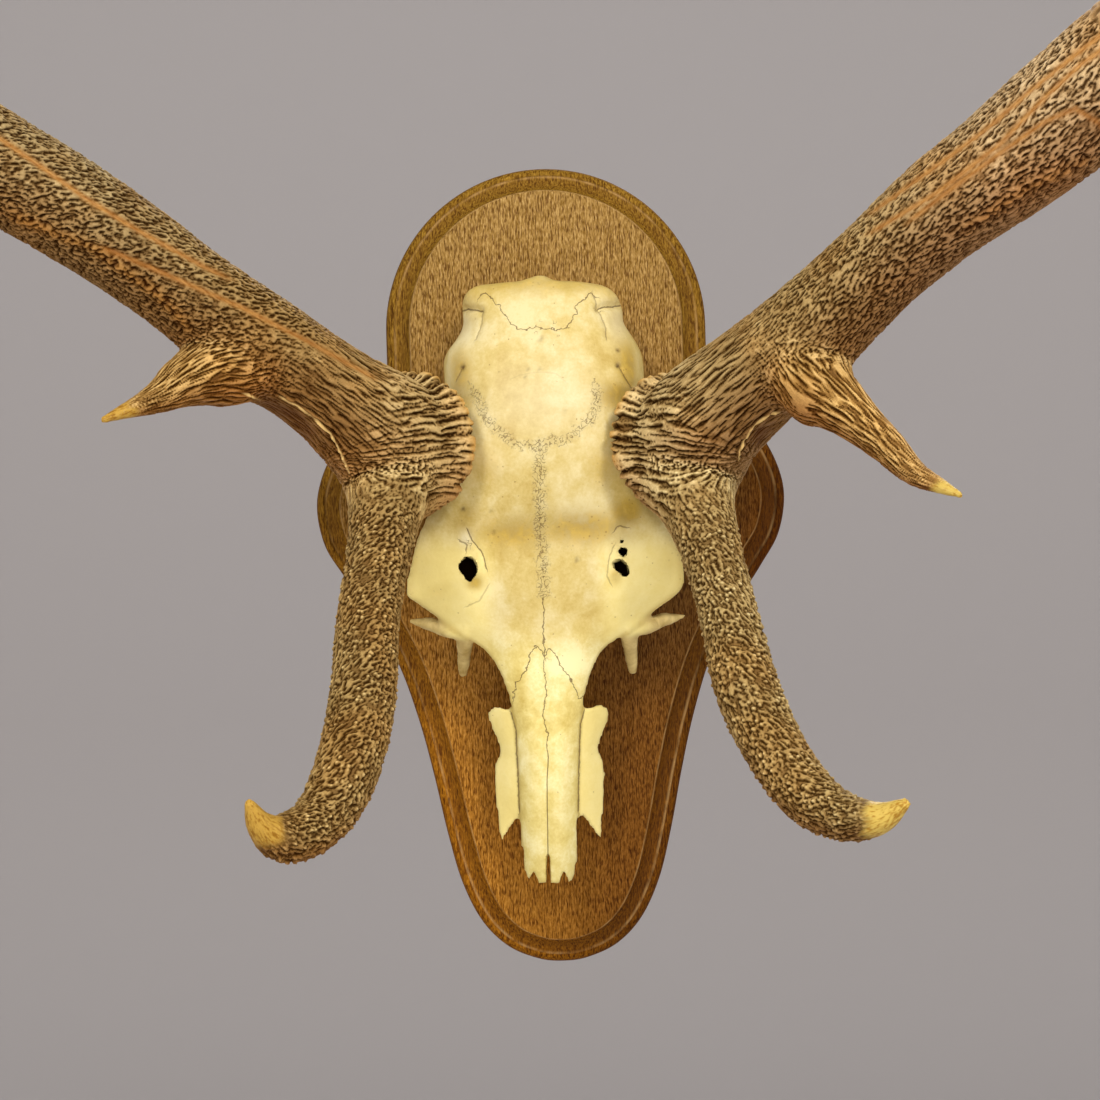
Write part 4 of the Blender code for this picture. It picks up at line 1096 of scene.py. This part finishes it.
# Sutures as (x, z): jagged lines, bands of fine squiggles and the seam down the middle
LAMBDOID = [(-38.3, 164), (-37, 166.4), (-33.8, 166.6), (-30.2, 164.3), (-27.6, 159.1), (-25.4, 158.1),
            (-24, 154.8), (-21.4, 151.5), (-19.2, 147.7), (-14.3, 143.5), (-8.6, 142.7), (-6.3, 145.4),
            (-5.2, 143), (-2.7, 146), (-1, 143.2), (3.5, 142.7), (5.7, 145.4), (8.3, 140.4), (11.3, 143.7),
            (12.8, 142.5), (16.9, 144.8), (18.7, 148.9), (21.5, 153), (20.7, 157.7), (25.2, 160),
            (29.9, 166.1), (33.4, 164.1)]
NASAL_ROOT = [(-21.4, -81.3), (-19.8, -70.6), (-17.1, -68.9), (-12.9, -62.5), (-10.4, -53.1), (-8.5, -49.6),
              (-5.6, -48.7), (-3.3, -51.5), (-1.7, -55.6), (0.1, -52.1), (1.9, -50.4), (5.3, -54), (7, -59.3),
              (15, -71.3), (18.9, -81.4), (21.3, -80.8)]
CORONAL = [(-41.4, 106.2), (-38.3, 99.8), (-37, 94.4), (-33.6, 88.1), (-29.3, 83.1), (-24, 78.6),
           (-18.8, 74.4), (-13.6, 72), (-3, 72.5), (4.9, 74.8), (11.1, 73.6), (16.4, 77), (21.8, 81.8),
           (26.3, 85.7), (30.8, 92.3), (32.8, 101.2), (32, 106.7)]
MIDLINE = [(-2.2, 70), (-3.1, 21.6), (-1.2, -10), (-2.2, -18.4), (-1.8, -28.7), (-2.2, -40.3), (-1.9, -49.7),
           (-1.7, -55.6), (-3.3, -60), (-1.9, -65), (-0.8, -77), (-3.5, -92), (-0.6, -103.4), (-1.6, -110.5),
           (-0.5, -117.6), (-1.6, -131), (-1.8, -146), (-1.9, -196)]
SQUIGGLES_END = -19                     # z where the band of squiggles gives way to the plain seam
# Creases, cracks and gaps as their strength and a line of (x, z)
CREASES = [
    (1.0, [(-50.5, 158.8), (-43.4, 157.3), (-37.9, 156.3)]),
    (1.0, [(34.9, 155.9), (39.9, 158.2), (46.3, 158.5), (51, 160.7)]),
    (0.5, [(-36.7, 155), (-36.3, 149.4), (-38.5, 142.9), (-40.4, 138.3)]),
    (0.6, [(31.7, 165.1), (35.9, 153.7), (39.2, 144.3), (39.1, 137.8)]),
    (0.9, [(47.8, 118), (51, 112.5), (55.1, 106)]),
    (0.6, [(-49.8, 119.3), (-52.6, 113.9)]),
    (0.9, [(-46.9, 21.9), (-44.8, 16.1), (-38.1, 7.9), (-36, -1.4)]),
    (0.4, [(-35, -11.8), (-41, -21), (-48.1, -23.8)]),
    (0.8, [(-51.7, 15.6), (-47.7, 13.3), (-48.4, 9.8)]),
    (0.8, [(41.8, 20.3), (44.7, 23.2), (49.3, 21.9)]),
    (0.5, [(41.7, 11.1), (38.1, 3.1), (36.8, -6.1), (39.1, -11.4)]),
    (0.14, [(-18.3, 112.8), (-12.9, 115), (-2.3, 116.6), (8.3, 115.1), (13.5, 110.4)]),
    (0.9, [(-23.5, -90), (-20.7, -101.7), (-20.2, -123), (-19.6, -152)]),
    (0.9, [(22.2, -90), (20, -98), (18.8, -123), (18, -152)]),
]
# Pits as (x, z, radius, darkness)
PITS = [(-48.7, 121.3, 1.6, 1), (46.3, 130, 1.3, 0.8), (46, 120.4, 1.5, 1), (0, 137.5, 1.1, 0.5),
        (-1.1, 135.7, 1.1, 0.4), (-10.3, 113.6, 1, 0.4), (-8.3, 118.3, 1, 0.4), (-1.4, 118.2, 1, 0.4),
        (12.7, 92, 1, 0.3), (-49.4, 34.9, 1.3, 0.7), (-31.2, 20.3, 1.1, 0.6), (-32.1, 33.4, 1, 0.4),
        (18.8, 3.2, 1.2, 0.7)]
# Stains as (x, z, half width, half height, strength)
STAINS = [(0, 168, 18, 8, 0.4), (-42, 168, 12, 7, 0.5), (44, 167, 12, 7, 0.5), (-51, 119, 9, 17, 0.75),
          (53, 120, 9, 19, 0.9), (45, 102, 14, 10, 0.9), (-50, 101, 10, 9, 0.6), (-18, 20, 28, 12, 0.72),
          (24, 22, 32, 13, 0.76), (49, 31, 11, 10, 1), (-46, 31, 11, 10, 0.5), (-43, -9, 7, 6, 0.8),
          (42, -8, 4.5, 6, 0.6), (-36, 60, 14, 16, 0.45), (38, 58, 14, 18, 0.5), (-76, 2, 14, 20, 0.3),
          (76, 2, 14, 20, 0.3), (-62, -14, 16, 8, 0.35)]
# Broad swells and dips of the bone, and its pale patches, the broad one mid-dome partly a painted highlight,
# as (x, z, half width, half height, strength)
SWELLS = [(0, 18, 42, 13, -2.4), (-45, 2, 9, 13, -2.0), (45, 2, 9, 13, -2.0), (-30, 4, 12, 16, 0.9),
          (30, 4, 12, 16, 0.9), (-24, -34, 13, 16, -1.2), (24, -34, 13, 16, -1.2)]
PALE = [(-48, 17, 4, 5, 1.0), (0, 100, 30, 24, 0.5), (-47, 148, 7, 12, 0.6), (46, 148, 8, 14, 0.6)]
# Groups of lines, with how far from a line they reach in millimetres
LINES = {"sutures": (4, [(1, LAMBDOID), (1, NASAL_ROOT)]), "coronal": (9, [(1, CORONAL)]),
         "middle": (9, [(1, MIDLINE)]), "creases": (3, CREASES), "ledges": (6, CREASES[:2])}
FURROWS = {"creases": (1.0, 1.1), "ledges": (2.6, 2.4), "sutures": (0.35, 0.9)}     # depth and width


def along_curve(curve, place):
    """Read a curve of (z, value) pairs at one z, smoothly and without overshoot."""
    knots = np.array(curve[::-1], dtype=float)
    z, value = knots[:, 0], knots[:, 1]
    slope = np.diff(value) / np.diff(z)
    tangent = np.zeros(len(z))
    same_way = slope[1:] * slope[:-1] > 0
    harmonic = 2 * slope[1:] * slope[:-1] / np.where(same_way, slope[1:] + slope[:-1], 1)
    tangent[1:-1] = np.where(same_way, harmonic, 0)
    tangent[0], tangent[-1] = slope[0], slope[-1]
    place = np.clip(place, z[0], z[-1])
    left = np.minimum(np.searchsorted(z, place, side="right") - 1, len(z) - 2)
    width = z[left + 1] - z[left]
    t = (place - z[left]) / width
    start = (1 + 2 * t) * (1 - t) ** 2 * value[left] + t * (1 - t) ** 2 * width * tangent[left]
    end = t * t * (3 - 2 * t) * value[left + 1] - t * t * (1 - t) * width * tangent[left + 1]
    return start + end


def in_skull(x, z, height):
    """A point in the skull's own millimetres, as millimetres of the row frame."""
    return (x + SKULL_SHIFT, -SHIELD_THICKNESS - height, z)


def skull_body():
    """Dense rings of the skull's body, from the nuchal crest down to the tips of the nasals."""
    rows = np.linspace(SKULL_TOP, NASAL_TIP, round((SKULL_TOP - NASAL_TIP) / SKULL_ROW_STEP) + 1)
    crown, rim, depth, bulge, fall, neck_share, shelf, foot_share, lift = (
        along_curve(curve, rows)
        for curve in (SKULL_CROWN, SKULL_RIM, SKULL_RIM_DEPTH, SKULL_BULGE, SKULL_FALL, SKULL_NECK,
                      SKULL_SHELF, SKULL_FOOT, SKULL_LIFT))
    widths = np.column_stack([along_curve(curve, rows) for curve in (SKULL_RIGHT, SKULL_LEFT)])
    across = np.sin(np.linspace(0, math.pi / 2, SKULL_SAMPLES + 1)[:-1])
    rings = []
    for row, z in enumerate(rows):
        halves = []
        for width in widths[row]:
            heights = rim[row] + (crown[row] - rim[row]) * (1 - across ** bulge[row]) ** (1 / fall[row])
            neck, foot = width * neck_share[row], width * foot_share[row]
            under = rim[row] - depth[row]
            lower = [(width, rim[row]), (width * SKULL_EDGE_TUCK, under),
                     ((width + neck) / 2, (max(under, shelf[row]) + shelf[row]) / 2), (neck, shelf[row]),
                     ((neck + foot) / 2, (shelf[row] + lift[row]) / 2), (foot, lift[row])]
            halves.append(list(zip(across * width, heights)) + lower)
        right, left = halves
        ring = right + [(0, lift[row])] + [(-x, height) for x, height in left[:0:-1]]
        rings.append([in_skull(x, z, height) for x, height in ring])
    return rings


def strip_rings(mirror):
    """One thin strip of premaxilla, leaning outwards from under the edge of the nasal."""
    outer, _ = smooth_path(STRIP_OUTER, STRIP_STEP)
    places = np.linspace(0, 1, len(outer))
    inner, travelled = smooth_path(STRIP_INNER, STRIP_STEP / 2)
    inner = np.column_stack([np.interp(places, travelled / travelled[-1], column) for column in inner.T])
    rings = []
    for a, b in zip(outer, inner):
        a, b = (np.array(in_skull(mirror * point[0], point[1], point[2])) for point in (a, b))
        middle = (a + b) / 2 - np.array((0, STRIP_BULGE, 0))
        back = np.array((0, STRIP_THICKNESS, 0))
        rings.append([a, middle, b, b + back, a + back])
    return rings


def tube_rings(points, sides, spacing=2.0):
    """Rings round a smooth path of (x, y, z, radius) points."""
    rows, _ = smooth_path(points, spacing)
    _, first, second = carried_frames(rows[:, :3])
    turns = np.arange(sides) * math.tau / sides
    return [row[:3] + row[3] * (np.outer(np.cos(turns), side) + np.outer(np.sin(turns), up))
            for row, side, up in zip(rows, first, second)]


def pedicle_rings(side):
    """The bone stub under one antler, from inside the skull to just short of the burr."""
    axis = np.array(BURR_AXIS[side]) / np.linalg.norm(BURR_AXIS[side])
    end = np.array(BEAM[side][0][:3], dtype=float) - PEDICLE_GAP * axis
    rows = [(*(end - share * PEDICLE_LENGTH * axis), radius) for share, radius in PEDICLE_RADII]
    return tube_rings(rows, PEDICLE_SIDES)


def skull_cutters():
    """Prisms for the vessel holes and wedges for the notches between the nasals' tips."""
    prisms = []
    for outline in HOLES:
        top = along_curve(SKULL_CROWN, np.mean(outline, axis=0)[1]) + HOLE_CLEARANCE
        prisms.append([[in_skull(*corner, level) for corner in outline] for level in (HOLE_FLOOR, top)])
    for x, depth, half_width in NASAL_NOTCHES:
        rows = [(-1.4, -4), (1.4, -4), (0.9, 0.35 * depth), (0.2, depth), (-0.2, depth), (-0.9, 0.35 * depth)]
        corners = [(x + share * half_width, NASAL_TIP + rise) for share, rise in rows]
        prisms.append([[in_skull(*corner, level) for corner in corners] for level in NOTCH_LEVELS])
    return prisms


def spots(x, z, rows):
    """Soft round spots from rows of (x, z, half width, half height, strength)."""
    return [strength * np.exp(-((x - centre_x) / width) ** 2 - ((z - centre_z) / height) ** 2)
            for centre_x, centre_z, width, height, strength in rows]


def nearest_line(flat, lines, reach):
    """Signed distance to the nearest of some (strength, line) pairs, and its strength, 0 beyond the reach."""
    best, strength = np.full(len(flat), 1e3), np.zeros(len(flat))
    for power, line in lines:
        apart, _, _ = line_distance(flat, line)
        closer = np.abs(apart) < np.abs(best)
        best, strength = np.where(closer, apart, best), np.where(closer, power, strength)
    return best, strength * (1 - eased(np.abs(best), 0.6 * reach, reach))


def within_outline(flat, outline):
    """Which points lie inside a closed outline."""
    found = np.zeros(len(flat), bool)
    for (x1, z1), (x2, z2) in zip(outline, [*outline[1:], outline[0]]):
        if z1 != z2:
            crossing = (x2 - x1) * (flat[:, 1] - z1) / (z2 - z1) + x1
            found ^= ((z1 > flat[:, 1]) != (z2 > flat[:, 1])) & (flat[:, 0] < crossing)
    return found


def inside_holes(flat, height, front):
    """Where the walls and floors of the vessel holes are."""
    found = np.zeros(len(flat))
    for outline in HOLES:
        apart = np.abs(line_distance(flat, [*outline, outline[0]])[0])
        inside = within_outline(flat, outline)
        around = ~inside & (apart > 1) & (apart < 3) & (front > 0.6)
        level = np.median(height[around])
        deep = eased(level - height, 0.4, 1.1) * (height > HOLE_FLOOR - 1.5)
        found = np.maximum(found, deep * (inside | (apart < 0.7)))
    return found


def bone_lift(points, x, z, lines):
    """How far the bone's surface rises above the plain shape, in millimetres."""
    lift = sum(spots(x, z, SWELLS)) + np.exp(-(x / 8) ** 2) * eased(z, -50, -20) * eased(-z, -66, -40)
    for name, (depth, width) in FURROWS.items():
        apart, strength = lines[name]
        lift -= depth * strength * np.exp(-(apart / width) ** 2)
    middle = lines["middle"][0]
    nasal = eased(-z, 52, 74)
    lift += nasal * (0.7 * np.exp(-((np.abs(middle) - 9) / 5) ** 2) - 1.3 * np.exp(-(middle / 2.0) ** 2))
    lift += 0.5 * swirl(points / 24, 31) + 0.18 * swirl(points / 7, 32)
    return lift + eased(z, 163, 170) * 0.9 * swirl(points / (9, 9, 5), 33)


def carve_skull(mesh):
    """Shape the bone's dips, ridges and seams, and store what the material needs."""
    points, facing = points_of(mesh), normals_of(mesh)
    points = relaxed(mesh, points, np.full(len(points), 0.5), 3)
    x, z = points[:, 0] - SKULL_SHIFT, points[:, 2]
    height = -points[:, 1] - SHIELD_THICKNESS
    front = eased(-facing[:, 1], 0.0, 0.35)
    flat = np.column_stack((x, z))
    lines = {name: nearest_line(flat, group, reach) for name, (reach, group) in LINES.items()}
    round_pits = [(pit_x, pit_z, radius, radius, dark) for pit_x, pit_z, radius, dark in PITS]
    pits = np.max(spots(x, z, round_pits), 0)
    lift = bone_lift(points, x, z, lines) - PIT_DEPTH * pits
    edges = 0.4 * swirl(points / 11, 34) + 0.6 * eased(-z, 24, 40) * swirl(points / 3.4, 35)
    points = points + facing * (lift * front + (1 - front) * edges)[:, None]
    set_points(mesh, points * MM)
    width = np.where(x > 0, along_curve(SKULL_RIGHT, z), along_curve(SKULL_LEFT, z))
    edge = np.abs(x) / width
    along_temple = 0.7 * eased(edge, 0.78, 1.0) * eased(z, 88, 104) * (1 - eased(z, 124, 138))
    along_plate = 0.45 * eased(edge, 0.85, 1.0) * eased(-z, -40, 0) * (1 - eased(edge, 1.02, 1.1))
    stain = np.max([0.55 * eased(z, 158, 173), along_temple, along_plate, *spots(x, z, STAINS)], 0)
    # Painted light: the dome's sides are kept clear of stain, so they stay pale where they turn from the
    # lamps.
    stain *= 1 - 0.75 * eased(edge, 0.86, 0.97) * eased(z, 92, 104) * (1 - eased(z, 140, 160))
    # Partly dirt, partly painted shade: the bone's sides low down by the shield are darkened.
    stain = np.maximum(stain, 0.85 * (1 - front) * eased(-height, -60, -20) * eased(z, -75, -55))
    plates = eased(np.abs(x), 26, 44) * eased(-z, -26, -4)
    set_fields(mesh, stain=stain, pits=pits, holes=inside_holes(flat, height, front),
               shown=eased(-facing[:, 1], -0.6, -0.1), upper=eased(z, -62, -30) * (1 - plates),
               spur=eased(np.abs(x), 40, 48) * eased(-z, 20, 27) * eased(-height, -56, -50),
               plates=np.maximum(plates, eased(-z, 84, 90) * (edge > 1.02)), pale=sum(spots(x, z, PALE)),
               **{name: np.column_stack((*lines[name], z)) for name in LINES if name != "ledges"})


def bone_look():
    """Old bone: cream, stained ochre in its hollows and along its edges, with its sutures drawn in. Painted
    light keeps the dome's sides pale; painted shade, with dirt, darkens the low sides by the shield and fills
    the vessel holes; a pale patch mid-dome is partly a painted highlight.
    """
    look = Look("bone")
    where = look.place()
    broad = look.noise(where, 38, 4)
    medium = look.noise(where, (9, 9, 11), 4, 0.6, 0.4)
    fine = look.noise(where, 1.6, 3, 0.6)
    tone = broad * 0.55 + medium * 0.3 + fine * 0.15
    base = look.ramp(tone, (0.34, 202, 174, 84), (0.47, 226, 206, 126), (0.6, 244, 232, 172))
    base = look.mix(look.field("plates") * 0.7, base, srgb(247, 226, 142))
    base = look.tint(base, srgb(232, 226, 224), look.field("upper"))
    stain = (look.field("stain") * medium.within(0.2, 0.7, 0.65, 1.3)).within(0.05, 0.95)
    base = look.mix(stain * 0.85, base, look.ramp(medium, (0.3, 142, 110, 22), (0.7, 200, 164, 54)))
    # Pale patches; the broad one mid-dome is partly a painted highlight.
    base = look.mix(look.field("pale") * 0.5, base, srgb(244, 236, 204))
    jag = look.noise(where, 3.0, 2, 0.6) - 0.5
    zigzag = look.noise(where, 2.8, 1, 0.5) - 0.5
    squiggle = abs(look.noise(where, 2.2, 1, 0.5) - 0.5).within(0.01, 0.05, 1.0, 0.0)

    def line(name, wiggle, inner, outer):
        apart, strength, _ = look.axes(look.field(name, "Vector"))
        return abs(apart + wiggle).within(inner, outer, 1.0, 0.0) * strength
    level = look.axes(look.field("middle", "Vector"))[2]
    level_ends = SQUIGGLES_END - 1, SQUIGGLES_END + 1
    band = line("middle", jag * 8.0, 2.0, 5.4) * level.within(*level_ends)
    crossed = (line("coronal", jag * 8.0, 1.4, 4.4) + band).at_most(1.0)
    drawn = line("sutures", zigzag * 4.0, 0.1, 0.45) + line("creases", jag * 1.5, 0.15, 0.7)
    seam = line("middle", jag * level.within(-125, -104, 0.3, 4.0), 0.1, 0.5)
    drawn = drawn + seam * level.within(*level_ends, 1.0, 0.25)
    drawn = (drawn + crossed * squiggle * 0.8).at_most(1.0) * look.field("shown")
    specks = look.cells(where, 7.5).within(0.03, 0.07, 1.0, 0.0)
    freckles = look.cells(where, 3.4).within(0.1, 0.26, 1.0, 0.0) * stain * medium.within(0.45, 0.6)
    for share, colour in ((crossed * 0.2, (190, 176, 130)), (drawn * 0.78, (96, 72, 36)),
                          (specks * 0.5, (140, 102, 50)), (freckles * 0.6, (118, 82, 28)),
                          (look.field("pits"), (70, 44, 14))):
        base = look.mix(share, base, srgb(*colour))
    spur = look.ramp(medium, (0.3, 164, 130, 60), (0.7, 226, 200, 132))
    base = look.mix(look.field("spur") * 0.85, base, spur)
    # Painted shade: the walls and floors of the vessel holes are near black.
    base = look.mix(look.field("holes"), base, srgb(9, 4, 1))
    relief = fine * 0.35 + medium * 0.5 - drawn * 0.9 - specks * 0.8
    return look.finish(Base_Color=base, Roughness=tone.within(0.3, 0.7, 0.42, 0.54),
                       Normal=look.bump(relief, 0.3),
                       Specular_IOR_Level=look.field("holes").within(0, 1, 0.3, 0.0))


def make_skull():
    """The skull with its pedicles, strips and spurs in one, and its holes and notches cut out."""
    tubes = [skull_body()]
    for side, mirror in (("left", -1), ("right", 1)):
        tubes += [pedicle_rings(side), strip_rings(mirror)]
        for spur in (SPUR_SIDE, SPUR_PRONG):
            rows = [(*in_skull(mirror * x, z, height), radius) for x, z, height, radius in spur]
            tubes.append(tube_rings(rows, SPUR_SIDES))
    mesh = with_modifier(closed_tubes("skull", tubes), "REMESH", mode="VOXEL", voxel_size=SKULL_VOXEL)
    cutters = linked("skull_cutters", closed_tubes("skull_cutters", skull_cutters()))
    mesh = with_modifier(mesh, "BOOLEAN", operation="DIFFERENCE", solver="EXACT", object=cutters)
    bpy.data.objects.remove(cutters)
    carve_skull(mesh)
    mesh.shade_smooth()
    new_piece("deer_skull", mesh, bone_look(), "bone", "skull")


make_camera()
make_backdrop()
make_light()
make_shield()
make_antler("left")
make_antler("right")
make_skull()
